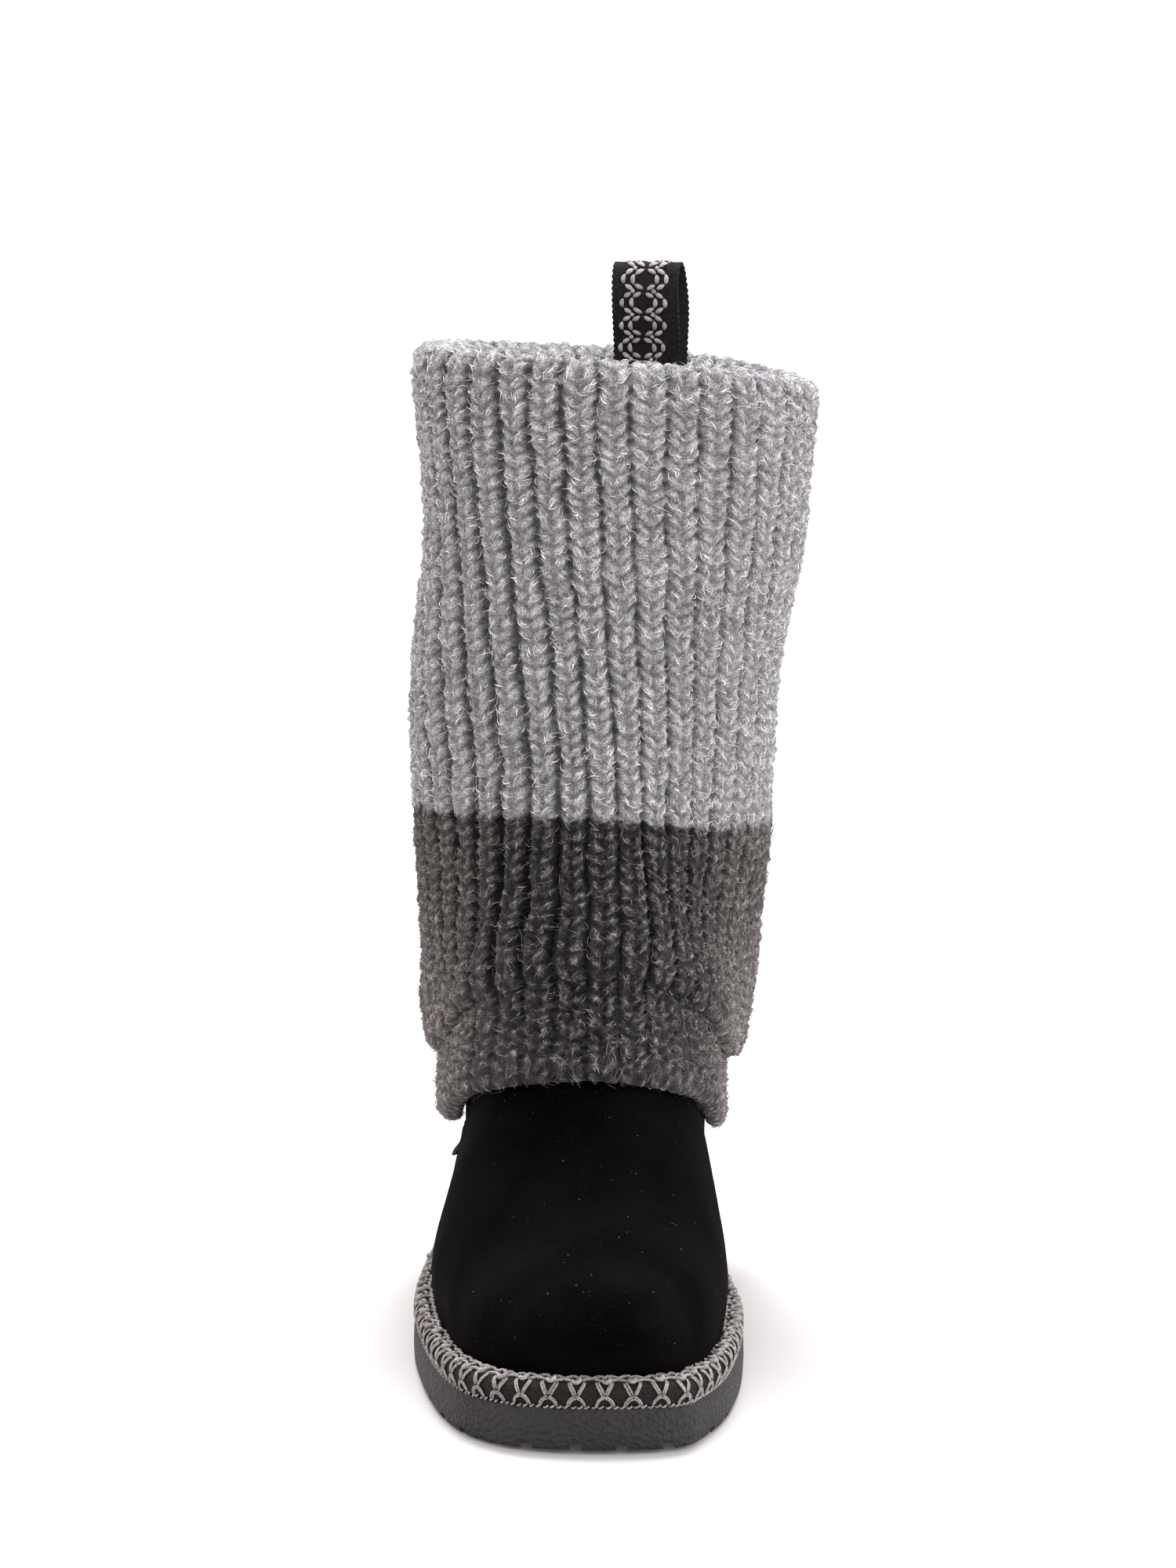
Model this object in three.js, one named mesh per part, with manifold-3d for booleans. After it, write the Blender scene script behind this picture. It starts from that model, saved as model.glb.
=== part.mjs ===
// A right-foot suede boot with a tall rib-knit shaft, in millimetres, +Z up. The toe points to -Y
// and the medial side to +X. The origin is on the ground, on the flat of the heel under the shaft.
import * as THREE from 'three';
import { mergeVertices } from 'three/addons/utils/BufferGeometryUtils.js';
import Module from 'manifold-3d';

const wasm = await Module();
wasm.setup();

// ---- driving sizes ----
const GAP = 0.3; // between pieces that touch
const LENGTH = 281; // of the sole
const BALL = 105; // width of the sole at the ball
const INSTEP = 84; // height of the suede where the knit's hem crosses it
const SHAFT = 314; // height of the knit's rim, at its middle
const TOE_Y = -206;
const WALL = 3; // suede with its lining

const alongFoot = (share) => TOE_Y + share * LENGTH;
const ease = (x) => THREE.MathUtils.smoothstep(x, 0, 1);

// ---- geometry helpers ----
function meshOf(points, faces) {
  const geometry = new THREE.BufferGeometry();
  geometry.setAttribute('position', new THREE.Float32BufferAttribute(points.flat(), 3));
  geometry.setIndex(faces.flat());
  return geometry;
}

// The skin between rings of `count` points. With `wrap`, the last ring joins the first.
function ringFaces(rings, count, wrap = false) {
  const faces = [];
  const last = wrap ? rings : rings - 1;
  for (let r = 0; r < last; r += 1) {
    for (let i = 0; i < count; i += 1) {
      const a = r * count + i;
      const b = r * count + ((i + 1) % count);
      const c = ((r + 1) % rings) * count + ((i + 1) % count);
      const d = ((r + 1) % rings) * count + i;
      faces.push([a, b, c], [a, c, d]);
    }
  }
  return faces;
}

// Closes a ring that starts at index `first` with strips across it, pairing i with count - i.
function ladderFaces(first, count, flip) {
  const faces = [];
  for (let i = 0; i < count / 2; i += 1) {
    const a = first + i;
    const b = first + i + 1;
    const c = first + ((count - i - 1) % count);
    const d = first + ((count - i) % count);
    if (c !== b) faces.push(flip ? [a, c, b] : [a, b, c]);
    if (a !== d) faces.push(flip ? [a, d, c] : [a, c, d]);
  }
  return faces;
}

function solid(geometry) {
  const bare = geometry.clone();
  bare.deleteAttribute('normal');
  bare.deleteAttribute('uv');
  const merged = mergeVertices(bare, 1e-4);
  return new wasm.Manifold(new wasm.Mesh({
    numProp: 3,
    vertProperties: merged.attributes.position.array,
    triVerts: new Uint32Array(merged.index.array),
  }));
}

function geometryOf(body) {
  const mesh = body.getMesh();
  const geometry = new THREE.BufferGeometry();
  geometry.setAttribute('position', new THREE.BufferAttribute(mesh.vertProperties, 3));
  geometry.setIndex(new THREE.BufferAttribute(mesh.triVerts, 1));
  return geometry;
}

// Moves every vertex along its own normal.
function inflated(geometry, distance) {
  const grown = mergeVertices(geometry, 1e-4);
  grown.computeVertexNormals();
  const { position, normal } = grown.attributes;
  for (let i = 0; i < position.count; i += 1) {
    position.setXYZ(
      i,
      position.getX(i) + normal.getX(i) * distance,
      position.getY(i) + normal.getY(i) * distance,
      position.getZ(i) + normal.getZ(i) * distance,
    );
  }
  return grown;
}

// A smooth value of one named column of a table at place t, counted in rows.
function column(rows, name, t) {
  const i = Math.min(Math.floor(t), rows.length - 2);
  const at = (k) => {
    if (k < 0) return 2 * rows[0][name] - rows[1][name];
    if (k >= rows.length) return 2 * rows.at(-1)[name] - rows.at(-2)[name];
    return rows[k][name];
  };
  const [p, q, r, s] = [at(i - 1), at(i), at(i + 1), at(i + 2)];
  const u = t - i;
  const bend = 2 * p - 5 * q + 4 * r - s + u * (3 * (q - r) + s - p);
  return q + 0.5 * u * (r - p + u * bend);
}

// ---- the plan of the sole ----
// along: share of the length from the toe. lateral, medial: half widths in ball widths.
const PLAN = [
  { along: 0.017, lateral: -0.205, medial: 0.271 },
  { along: 0.064, lateral: -0.343, medial: 0.343 },
  { along: 0.13, lateral: -0.419, medial: 0.402 },
  { along: 0.203, lateral: -0.467, medial: 0.438 },
  { along: 0.288, lateral: -0.503, medial: 0.462 },
  { along: 0.388, lateral: -0.530, medial: 0.469 },
  { along: 0.52, lateral: -0.520, medial: 0.432 },
  { along: 0.662, lateral: -0.470, medial: 0.390 },
  { along: 0.786, lateral: -0.424, medial: 0.376 },
  { along: 0.893, lateral: -0.362, medial: 0.338 },
  { along: 0.964, lateral: -0.243, medial: 0.224 },
];
const TOE_TIP = 0.048; // of the ball width, towards the big toe
const HEEL_TIP = -0.01;
const PLAN_STEPS = 36; // along each side

const planPoint = (x, share) => new THREE.Vector3(x * BALL, alongFoot(share), 0);
const planCurve = new THREE.CatmullRomCurve3([
  planPoint(TOE_TIP, 0),
  ...PLAN.map((row) => planPoint(row.medial, row.along)),
  planPoint(HEEL_TIP, 1),
  ...PLAN.toReversed().map((row) => planPoint(row.lateral, row.along)),
], true, 'centripetal');

// The outline moved inwards by `inset`, anticlockwise from the toe as seen from above.
function outline(inset, steps = PLAN_STEPS) {
  return Array.from({ length: 2 * steps }, (_, i) => {
    const at = planCurve.getPoint(i / (2 * steps));
    const along = planCurve.getTangent(i / (2 * steps));
    return [at.x - along.y * inset, at.y + along.x * inset];
  });
}

// ---- outsole ----
const FORE_THICK = 12.6;
const HEEL_THICK = 20;
const TOE_SPRING = 1.5;
const SPRING_Y = -150; // the tread lifts in front of this
const ARCH = { from: -58, to: -17, rise: 2.5 };
const HEEL_RAMP = { from: -70, to: 15 }; // the sole thickens between these
const GROOVE = { wide: 3.6, deep: 2.1 };
const CROSS_GROOVES_Y = [-184, -168, -149, -128, -106, -84, -62, -17, 15, 36];
const TOE_GROOVES_X = [-18.5, -3.8, 10, 24];
const HEEL_GROOVES_X = [-22, -8, 7, 21];
const SOLE_LEVELS = [
  { inset: 0.9, above: 0 },
  { inset: 0.2, above: 1.4 },
  { inset: 0, above: 5 },
  { inset: 0.1, below: 3 },
  { inset: 1.2, below: 0 },
];

function treadZ(y) {
  const spring = Math.max(0, (SPRING_Y - y) / (SPRING_Y - TOE_Y));
  const arch = Math.sin(Math.PI * THREE.MathUtils.clamp((y - ARCH.from) / (ARCH.to - ARCH.from), 0, 1));
  return TOE_SPRING * spring ** 2 + ARCH.rise * arch ** 2;
}

function soleTopZ(y) {
  const heel = ease((y - HEEL_RAMP.from) / (HEEL_RAMP.to - HEEL_RAMP.from));
  const spring = Math.max(0, (SPRING_Y - y) / (SPRING_Y - TOE_Y));
  return FORE_THICK + (HEEL_THICK - FORE_THICK) * heel + TOE_SPRING * spring ** 2;
}

function box(x0, x1, y0, y1, z0, z1) {
  const geometry = new THREE.BoxGeometry(x1 - x0, y1 - y0, z1 - z0);
  return solid(geometry.translate((x0 + x1) / 2, (y0 + y1) / 2, (z0 + z1) / 2));
}

function outsole() {
  const points = SOLE_LEVELS.flatMap((level) => outline(level.inset).map(([x, y]) => {
    const z = 'above' in level ? treadZ(y) + level.above : soleTopZ(y) - level.below;
    return [x, y, z];
  }));
  const count = 2 * PLAN_STEPS;
  const faces = ringFaces(SOLE_LEVELS.length, count);
  faces.push(...ladderFaces(0, count, true));
  faces.push(...ladderFaces((SOLE_LEVELS.length - 1) * count, count, false));
  let body = solid(meshOf(points, faces));
  const half = GROOVE.wide / 2;
  for (const y of CROSS_GROOVES_Y) {
    body = body.subtract(box(-BALL, BALL, y - half, y + half, -9, treadZ(y) + GROOVE.deep));
  }
  for (const x of TOE_GROOVES_X) {
    const y = TOE_Y + 11;
    body = body.subtract(box(x - half, x + half, TOE_Y - 9, y, -9, treadZ(y) + GROOVE.deep));
  }
  for (const x of HEEL_GROOVES_X) {
    body = body.subtract(box(x - half, x + half, 60, 99, -9, GROOVE.deep));
  }
  return geometryOf(body);
}

// ---- the form of foot and shaft ----
// Each row is one flat section through the last, from the toe to the rim. It runs from its base
// to its top: along and rise place both ends in lengths and instep heights. lateral, medial and
// ridge are the widest points and the top's place across, in ball widths, widest the share of
// the way up where it is widest, and crown how full it is above that.
const FOOT = [
  { topAlong: 0.0117, topRise: 0.357, baseAlong: 0.0117, baseRise: 0.357,
    lateral: 0.048, medial: 0.048, ridge: 0.048, widest: 0.5, crown: 2 },
  { topAlong: 0.016, topRise: 0.429, baseAlong: 0.016, baseRise: 0.286,
    lateral: -0.05, medial: 0.145, ridge: 0.048, widest: 0.5, crown: 2 },
  { topAlong: 0.0249, topRise: 0.486, baseAlong: 0.0249, baseRise: 0.214,
    lateral: -0.122, medial: 0.222, ridge: 0.048, widest: 0.52, crown: 2 },
  { topAlong: 0.0445, topRise: 0.54, baseAlong: 0.0445, baseRise: 0.089,
    lateral: -0.217, medial: 0.276, ridge: 0.045, widest: 0.55, crown: 2.05 },
  { topAlong: 0.0694, topRise: 0.579, baseAlong: 0.0694, baseRise: -0.03,
    lateral: -0.29, medial: 0.312, ridge: 0.043, widest: 0.56, crown: 2.1 },
  { topAlong: 0.121, topRise: 0.612, baseAlong: 0.121, baseRise: -0.1,
    lateral: -0.373, medial: 0.366, ridge: 0.04, widest: 0.57, crown: 2.15 },
  { topAlong: 0.1957, topRise: 0.648, baseAlong: 0.1957, baseRise: -0.11,
    lateral: -0.434, medial: 0.408, ridge: 0.038, widest: 0.56, crown: 2.15 },
  { topAlong: 0.2883, topRise: 0.714, baseAlong: 0.2883, baseRise: -0.11,
    lateral: -0.473, medial: 0.43, ridge: 0.036, widest: 0.54, crown: 2.1 },
  { topAlong: 0.3658, topRise: 0.843, baseAlong: 0.3883, baseRise: -0.11,
    lateral: -0.491, medial: 0.43, ridge: 0.033, widest: 0.46, crown: 2.05 },
  { topAlong: 0.4285, topRise: 0.993, baseAlong: 0.5007, baseRise: -0.11,
    lateral: -0.478, medial: 0.42, ridge: 0.03, widest: 0.4, crown: 2.05 },
  { topAlong: 0.4655, topRise: 1.112, baseAlong: 0.6181, baseRise: -0.11,
    lateral: -0.46, medial: 0.41, ridge: 0.025, widest: 0.37, crown: 2.05 },
  { topAlong: 0.4911, topRise: 1.232, baseAlong: 0.7456, baseRise: -0.11,
    lateral: -0.438, medial: 0.394, ridge: 0.02, widest: 0.34, crown: 2.15 },
  { topAlong: 0.5089, topRise: 1.357, baseAlong: 0.863, baseRise: -0.09,
    lateral: -0.417, medial: 0.384, ridge: 0.015, widest: 0.33, crown: 2.3 },
  { topAlong: 0.5224, topRise: 1.5, baseAlong: 0.9502, baseRise: 0.036,
    lateral: -0.408, medial: 0.383, ridge: 0.01, widest: 0.33, crown: 2.4 },
  { topAlong: 0.5331, topRise: 1.65, baseAlong: 0.9751, baseRise: 0.321,
    lateral: -0.408, medial: 0.38, ridge: 0.01, widest: 0.34, crown: 2.3 },
  { topAlong: 0.5399, topRise: 1.81, baseAlong: 0.9737, baseRise: 0.619,
    lateral: -0.425, medial: 0.4, ridge: 0.01, widest: 0.39, crown: 2.2 },
];
// The shaft above: across in ball widths, front and back in lengths, heights in shaft heights.
const LEG = [
  { front: 0.546, frontRise: 0.532, back: 0.957, backRise: 0.261,
    lateral: -0.444, medial: 0.456, ridge: 0.012 },
  { front: 0.55, frontRise: 0.588, back: 0.941, backRise: 0.366,
    lateral: -0.472, medial: 0.501, ridge: 0.02 },
  { front: 0.552, frontRise: 0.656, back: 0.929, backRise: 0.484,
    lateral: -0.497, medial: 0.523, ridge: 0.03 },
  { front: 0.553, frontRise: 0.732, back: 0.922, backRise: 0.605,
    lateral: -0.499, medial: 0.545, ridge: 0.04 },
  { front: 0.553, frontRise: 0.815, back: 0.918, backRise: 0.726,
    lateral: -0.469, medial: 0.584, ridge: 0.055 },
  { front: 0.553, frontRise: 0.898, back: 0.916, backRise: 0.847,
    lateral: -0.467, medial: 0.627, ridge: 0.07 },
  { front: 0.553, frontRise: 0.975, back: 0.915, backRise: 0.975,
    lateral: -0.491, medial: 0.662, ridge: 0.08 },
  { front: 0.553, frontRise: 1.051, back: 0.915, backRise: 1.051,
    lateral: -0.495, medial: 0.67, ridge: 0.08 },
];

const SECTIONS = [
  ...FOOT.map((row) => ({
    topY: alongFoot(row.topAlong),
    topZ: row.topRise * INSTEP,
    baseY: alongFoot(row.baseAlong),
    baseZ: row.baseRise * INSTEP,
    lateral: row.lateral * BALL,
    medial: row.medial * BALL,
    ridge: row.ridge * BALL,
    widest: row.widest,
    crown: row.crown,
  })),
  ...LEG.map((row, i) => ({
    topY: alongFoot(row.front),
    topZ: row.frontRise * SHAFT,
    baseY: alongFoot(row.back),
    baseZ: row.backRise * SHAFT,
    lateral: row.lateral * BALL,
    medial: row.medial * BALL,
    ridge: row.ridge * BALL,
    widest: Math.min(0.5, 0.42 + 0.03 * i),
    crown: 2.15,
  })),
];
const RIM_ROW = SECTIONS.length - 2;
const BELLY = 2.1; // how full a section is below its widest point

// The rim is lower on the medial side, and the upper half of the shaft follows it.
const LEAN = { middle: 8, slope: 0.06, bow: 6e-4, dip: 7e-6, from: 150 };

function leaned([x, y, z]) {
  const across = x - LEAN.middle;
  const drop = LEAN.slope * across + LEAN.bow * across ** 2 + LEAN.dip * across ** 3;
  return [x, y, z - drop * ease((z - LEAN.from) / (SHAFT - LEAN.from))];
}

// A point of the last: t counts sections, turn goes once round from the top over the medial side.
function sectionPoint(t, turns) {
  const turn = turns - Math.floor(turns);
  const at = (name) => column(SECTIONS, name, t);
  const swing = Math.cos(2 * Math.PI * turn);
  const widest = at('widest');
  const up = swing >= 0 ? widest + (1 - widest) * Math.abs(swing) ** (2 / at('crown'))
    : widest - widest * Math.abs(swing) ** (2 / BELLY);
  const full = swing >= 0 ? at('crown') : BELLY;
  const out = Math.abs(Math.sin(2 * Math.PI * turn)) ** (2 / full);
  const side = turn <= 0.5 ? at('medial') : at('lateral');
  const ridge = at('ridge');
  return [
    ridge + (side - ridge) * out,
    at('baseY') + (at('topY') - at('baseY')) * up,
    at('baseZ') + (at('topZ') - at('baseZ')) * up,
  ];
}
const surface = (t, turn) => leaned(sectionPoint(t, turn));

const AROUND = 28;

// The last from the toe to the given section, with one ring of points a section.
function lastForm(lastRow) {
  const points = [surface(0, 0)];
  for (let row = 1; row <= lastRow; row += 1) {
    for (let i = 0; i < AROUND; i += 1) points.push(surface(row, i / AROUND));
  }
  const faces = ringFaces(lastRow, AROUND).map((face) => face.map((index) => index + 1));
  for (let i = 0; i < AROUND; i += 1) faces.push([0, 1 + ((i + 1) % AROUND), 1 + i]);
  faces.push(...ladderFaces(1 + (lastRow - 1) * AROUND, AROUND, false));
  return meshOf(points, faces);
}

const LAST_TOP = lastForm(RIM_ROW);
const LAST_LONG = lastForm(RIM_ROW + 1);

// A block across the whole width below a line of [y, z] points.
function blockUnder(line) {
  const shape = new THREE.Shape(line.map(([y, z]) => new THREE.Vector2(y, z)));
  const geometry = new THREE.ExtrudeGeometry(shape, { depth: 2 * BALL, bevelEnabled: false });
  const [x, y, z] = [new THREE.Vector3(1, 0, 0), new THREE.Vector3(0, 1, 0), new THREE.Vector3(0, 0, 1)];
  geometry.applyMatrix4(new THREE.Matrix4().makeBasis(y, z, x));
  return solid(geometry.translate(-BALL, 0, 0));
}

function underSole(above) {
  const [from, to, step] = [TOE_Y - 20, TOE_Y + LENGTH + 20, 9];
  const line = [[to, -99], [from, -99]].toReversed();
  for (let y = to; y >= from; y -= step) line.push([y, soleTopZ(y) + above]);
  line.push([from, soleTopZ(from) + above]);
  return blockUnder(line);
}

// ---- upper, insole and trim ----
const INSOLE = 5;
const TRIM_LEVELS = [
  { inset: 2.4, up: 0.3 },
  { inset: 1.2, up: 1.3 },
  { inset: 0.9, up: 4.4 },
  { inset: 1.6, up: 6.9 },
  { inset: 3.4, up: 8.6 },
  { inset: 6.4, up: 8.8 },
  { inset: 14, up: 8 },
  { inset: 14, up: 0.3 },
];

function upper() {
  const hollow = solid(inflated(LAST_LONG, -WALL));
  return geometryOf(solid(LAST_TOP).subtract(hollow).subtract(underSole(GAP)));
}

function insole() {
  const room = solid(inflated(LAST_LONG, -WALL - GAP));
  return geometryOf(room.intersect(underSole(GAP + INSOLE)).subtract(underSole(GAP)));
}

function trimBand() {
  const steps = 30;
  const points = TRIM_LEVELS.flatMap(({ inset, up }) => (
    outline(inset, steps).map(([x, y]) => [x, y, soleTopZ(y) + up])
  ));
  const ring = solid(meshOf(points, ringFaces(TRIM_LEVELS.length, 2 * steps, true)));
  return geometryOf(ring.subtract(solid(inflated(LAST_TOP, GAP))));
}

// ---- places on the shaft, by heading and height ----
// A heading goes once round the shaft's axis: 0 is the front, 0.25 the medial side.
const AXIS_X = 3;
const ANKLE_ROW = 7; // every place below lies behind this section

const headingOf = ([x, y]) => Math.atan2(x - AXIS_X, -y) / (2 * Math.PI);
const wrapped = (turns) => turns - Math.round(turns);

function bisected(low, high, isHigh, steps = 24) {
  let [from, to] = [low, high];
  for (let i = 0; i < steps; i += 1) {
    const middle = (from + to) / 2;
    if (isHigh(middle)) to = middle;
    else from = middle;
  }
  return (from + to) / 2;
}

const rowAt = (turn, z) => (
  bisected(ANKLE_ROW, SECTIONS.length - 1, (t) => sectionPoint(t, turn)[2] > z)
);

function turnAt(heading, z) {
  const ahead = (turn) => {
    const place = sectionPoint(rowAt(turn, z), turn);
    return wrapped(headingOf(place) - heading) > 0;
  };
  return bisected(heading - 0.2, heading + 0.2, ahead);
}

// The last's point at a heading and height before leaning, moved outwards by `off`.
function shaftPoint(heading, z, off) {
  const turn = turnAt(heading, z);
  const row = rowAt(turn, z);
  const step = 0.01;
  const [east, west] = [surface(row, turn + step), surface(row, turn - step)];
  const [high, low] = [surface(row + step, turn), surface(row - step, turn)];
  const along = new THREE.Vector3(...east).sub(new THREE.Vector3(...west));
  const up = new THREE.Vector3(...high).sub(new THREE.Vector3(...low));
  const normal = along.cross(up).normalize();
  return new THREE.Vector3(...surface(row, turn)).addScaledVector(normal, off).toArray();
}

// ---- knit shaft ----
const RIBS = 38;
const RIB_POINTS = 3;
const RIB_SHAPE = [0, 1, 1]; // one valley, then a broad crest
const KNIT = { wall: 3.3, rib: 3, hemFront: 87, hemBack: 54, gap: 0.6 };
const RIM_Z = SECTIONS[RIM_ROW].topZ;
// up: share of the way from hem to rim. air: how far the slouching knit stands off the upper.
const KNIT_ROWS = [
  { up: 0, air: 0.2, thick: 0.7 },
  { up: 0.02, air: 0.5, thick: 1.1 },
  { up: 0.065, air: 1.4, thick: 1.1 },
  { up: 0.1, air: 3, thick: 1.05 },
  { up: 0.135, air: 5.6, thick: 1 },
  { up: 0.19, air: 4.8, thick: 1 },
  { up: 0.29, air: 2.4, thick: 1 },
  { up: 0.42, air: 0.8, thick: 1 },
  { up: 0.6, air: 0, thick: 1 },
  { up: 0.8, air: 0, thick: 1 },
  { up: 0.95, air: 0, thick: 1 },
];
// The rolled edge, from the outside over the rim and down inside: drop below the rim's top,
// off from the upper's outer face, and what is left of the ribs.
const ROLL = [
  { drop: 5.5, off: 3.4, rib: 0.9 },
  { drop: 1.6, off: 2.2, rib: 0.6 },
  { drop: 0, off: -1.6, rib: 0.2 },
  { drop: 1.8, off: -5.6, rib: -0.3 },
  { drop: 6.5, off: -6.6, rib: -0.4 },
  { drop: 13.6, off: -6, rib: -0.3 },
];
const GROOVE_ROLL = [
  { drop: 13.6, off: -WALL - KNIT.gap },
  { drop: SHAFT - RIM_Z - GAP, off: -WALL - KNIT.gap },
  { drop: SHAFT - RIM_Z - GAP, off: KNIT.gap },
];

const hemZ = (heading) => (
  KNIT.hemBack + (KNIT.hemFront - KNIT.hemBack) * (0.5 + 0.5 * Math.cos(2 * Math.PI * heading)) ** 3.3
);

// Headings at equal distances round the shaft at half its height.
function evenHeadings(count) {
  const fine = Array.from({ length: 721 }, (_, i) => i / 720);
  const places = fine.map((heading) => shaftPoint(heading, SHAFT * 0.6, 0));
  const run = [0];
  for (let i = 1; i < places.length; i += 1) {
    run.push(run[i - 1] + Math.hypot(places[i][0] - places[i - 1][0], places[i][1] - places[i - 1][1]));
  }
  return Array.from({ length: count }, (_, i) => {
    const wanted = (i / count) * run.at(-1);
    const k = Math.max(1, run.findIndex((far) => far > wanted));
    return fine[k - 1] + ((wanted - run[k - 1]) / (run[k] - run[k - 1])) / 720;
  });
}

function knitShaft() {
  const headings = evenHeadings(RIBS * RIB_POINTS);
  const zOf = (heading, up) => hemZ(heading) + (RIM_Z - hemZ(heading)) * up;
  const outer = [
    ...KNIT_ROWS.map((row) => headings.map((heading, i) => {
      const rib = KNIT.rib * RIB_SHAPE[i % RIB_POINTS];
      const off = KNIT.gap + row.air + (KNIT.wall + rib) * row.thick;
      return shaftPoint(heading, zOf(heading, row.up), off);
    })),
    ...ROLL.map((row) => headings.map((heading, i) => {
      const off = row.off + KNIT.rib * row.rib * RIB_SHAPE[i % RIB_POINTS];
      return shaftPoint(heading, SHAFT - row.drop, off);
    })),
  ];
  const coarse = headings.filter((_, i) => i % RIB_POINTS === 0);
  const inner = [
    ...GROOVE_ROLL.map((row) => coarse.map((heading) => shaftPoint(heading, SHAFT - row.drop, row.off))),
    ...KNIT_ROWS.toReversed().map((row) => coarse.map((heading) => (
      shaftPoint(heading, zOf(heading, row.up), KNIT.gap + row.air)
    ))),
  ];
  const fineCount = headings.length;
  const start = outer.length * fineCount; // index of the first inner point
  const faces = [
    ...ringFaces(outer.length, fineCount),
    ...ringFaces(inner.length, RIBS).map((face) => face.map((index) => index + start)),
  ];
  const endFine = (outer.length - 1) * fineCount;
  const endInner = start + (inner.length - 1) * RIBS;
  for (let i = 0; i < RIBS; i += 1) {
    const next = (i + 1) % RIBS;
    const f = [0, 1, 2, 3].map((k) => (i * RIB_POINTS + k) % fineCount);
    const [a, b] = [start + i, start + next];
    faces.push([endFine + f[0], endFine + f[1], a], [endFine + f[1], b, a]);
    faces.push([endFine + f[1], endFine + f[2], b], [endFine + f[2], endFine + f[3], b]);
    const [c, d] = [endInner + i, endInner + next];
    faces.push([c, f[1], f[0]], [c, d, f[1]], [d, f[2], f[1]], [d, f[3], f[2]]);
  }
  const cover = solid(inflated(LAST_TOP, GAP)).subtract(solid(inflated(LAST_LONG, -WALL - GAP)));
  return geometryOf(solid(meshOf([...outer.flat(), ...inner.flat()], faces)).subtract(cover));
}

// ---- pull loop ----
const RIBBON = { wide: 21.8, thick: 1.7 };
const LOOP = { x: 20, y: 39.7, turn: -10, foot: 292, top: 344, gap: 9.5, closed: 312 };

// The ribbon from the side: a slim drop, its two legs sewn together below `closed`.
function pullLoop() {
  const { foot, top, gap, closed } = LOOP;
  const half = gap / 2 + RIBBON.thick;
  const round = top - half;
  const belly = round - 8;
  const shape = new THREE.Shape();
  shape.moveTo(-RIBBON.thick, foot);
  shape.lineTo(RIBBON.thick, foot);
  shape.lineTo(RIBBON.thick, closed);
  shape.bezierCurveTo(RIBBON.thick, closed + 6, half, belly - 8, half, belly);
  shape.lineTo(half, round);
  shape.absarc(0, round, half, 0, Math.PI, false);
  shape.lineTo(-half, belly);
  shape.bezierCurveTo(-half, belly - 8, -RIBBON.thick, closed + 6, -RIBBON.thick, closed);
  shape.closePath();
  const hole = new THREE.Path();
  const inside = gap / 2;
  hole.moveTo(0, closed + 2.5);
  hole.bezierCurveTo(0.6, closed + 8, inside, belly - 7, inside, belly);
  hole.lineTo(inside, round);
  hole.absarc(0, round, inside, 0, Math.PI, false);
  hole.lineTo(-inside, belly);
  hole.bezierCurveTo(-inside, belly - 7, -0.6, closed + 8, 0, closed + 2.5);
  shape.holes.push(hole);
  const geometry = new THREE.ExtrudeGeometry(shape, {
    depth: RIBBON.wide, bevelEnabled: false, curveSegments: 5,
  });
  const [x, y, z] = [new THREE.Vector3(1, 0, 0), new THREE.Vector3(0, 1, 0), new THREE.Vector3(0, 0, 1)];
  geometry.applyMatrix4(new THREE.Matrix4().makeBasis(y, z, x));
  geometry.translate(-RIBBON.wide / 2, 0, 0);
  geometry.rotateZ(THREE.MathUtils.degToRad(LOOP.turn));
  return geometry.translate(LOOP.x, LOOP.y, 0);
}

// ---- side label ----
const LABEL = { heading: 0.785, spread: 0.036, low: 47.5, high: 57, off: 0.5, thick: 1.2 };

function sideLabel() {
  const [wide, tall] = [4, 2];
  const ringAt = (off) => {
    const ring = [];
    const put = (u, v) => ring.push(shaftPoint(
      LABEL.heading + LABEL.spread * (u / wide - 0.5),
      LABEL.low + (LABEL.high - LABEL.low) * (v / tall),
      off,
    ));
    for (let v = 0; v <= tall; v += 1) for (let u = 0; u <= wide; u += 1) put(u, v);
    return ring;
  };
  const size = (wide + 1) * (tall + 1);
  const at = (layer, u, v) => layer * size + v * (wide + 1) + u;
  const faces = [];
  const quad = (a, b, c, d) => faces.push([a, b, c], [a, c, d]);
  for (let v = 0; v < tall; v += 1) {
    for (let u = 0; u < wide; u += 1) {
      quad(at(1, u, v), at(1, u + 1, v), at(1, u + 1, v + 1), at(1, u, v + 1));
      quad(at(0, u, v), at(0, u, v + 1), at(0, u + 1, v + 1), at(0, u + 1, v));
    }
    quad(at(0, 0, v), at(1, 0, v), at(1, 0, v + 1), at(0, 0, v + 1));
    quad(at(1, wide, v), at(0, wide, v), at(0, wide, v + 1), at(1, wide, v + 1));
  }
  for (let u = 0; u < wide; u += 1) {
    quad(at(0, u, 0), at(0, u + 1, 0), at(1, u + 1, 0), at(1, u, 0));
    quad(at(1, u, tall), at(1, u + 1, tall), at(0, u + 1, tall), at(0, u, tall));
  }
  return meshOf([...ringAt(LABEL.off), ...ringAt(LABEL.off + LABEL.thick)], faces);
}

// ---- the boot ----
const boot = new THREE.Group();

function add(name, geometry, color, roughness) {
  const material = new THREE.MeshStandardMaterial({ color, roughness, metalness: 0 });
  const mesh = new THREE.Mesh(geometry, material);
  mesh.name = name;
  boot.add(mesh);
}

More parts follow.
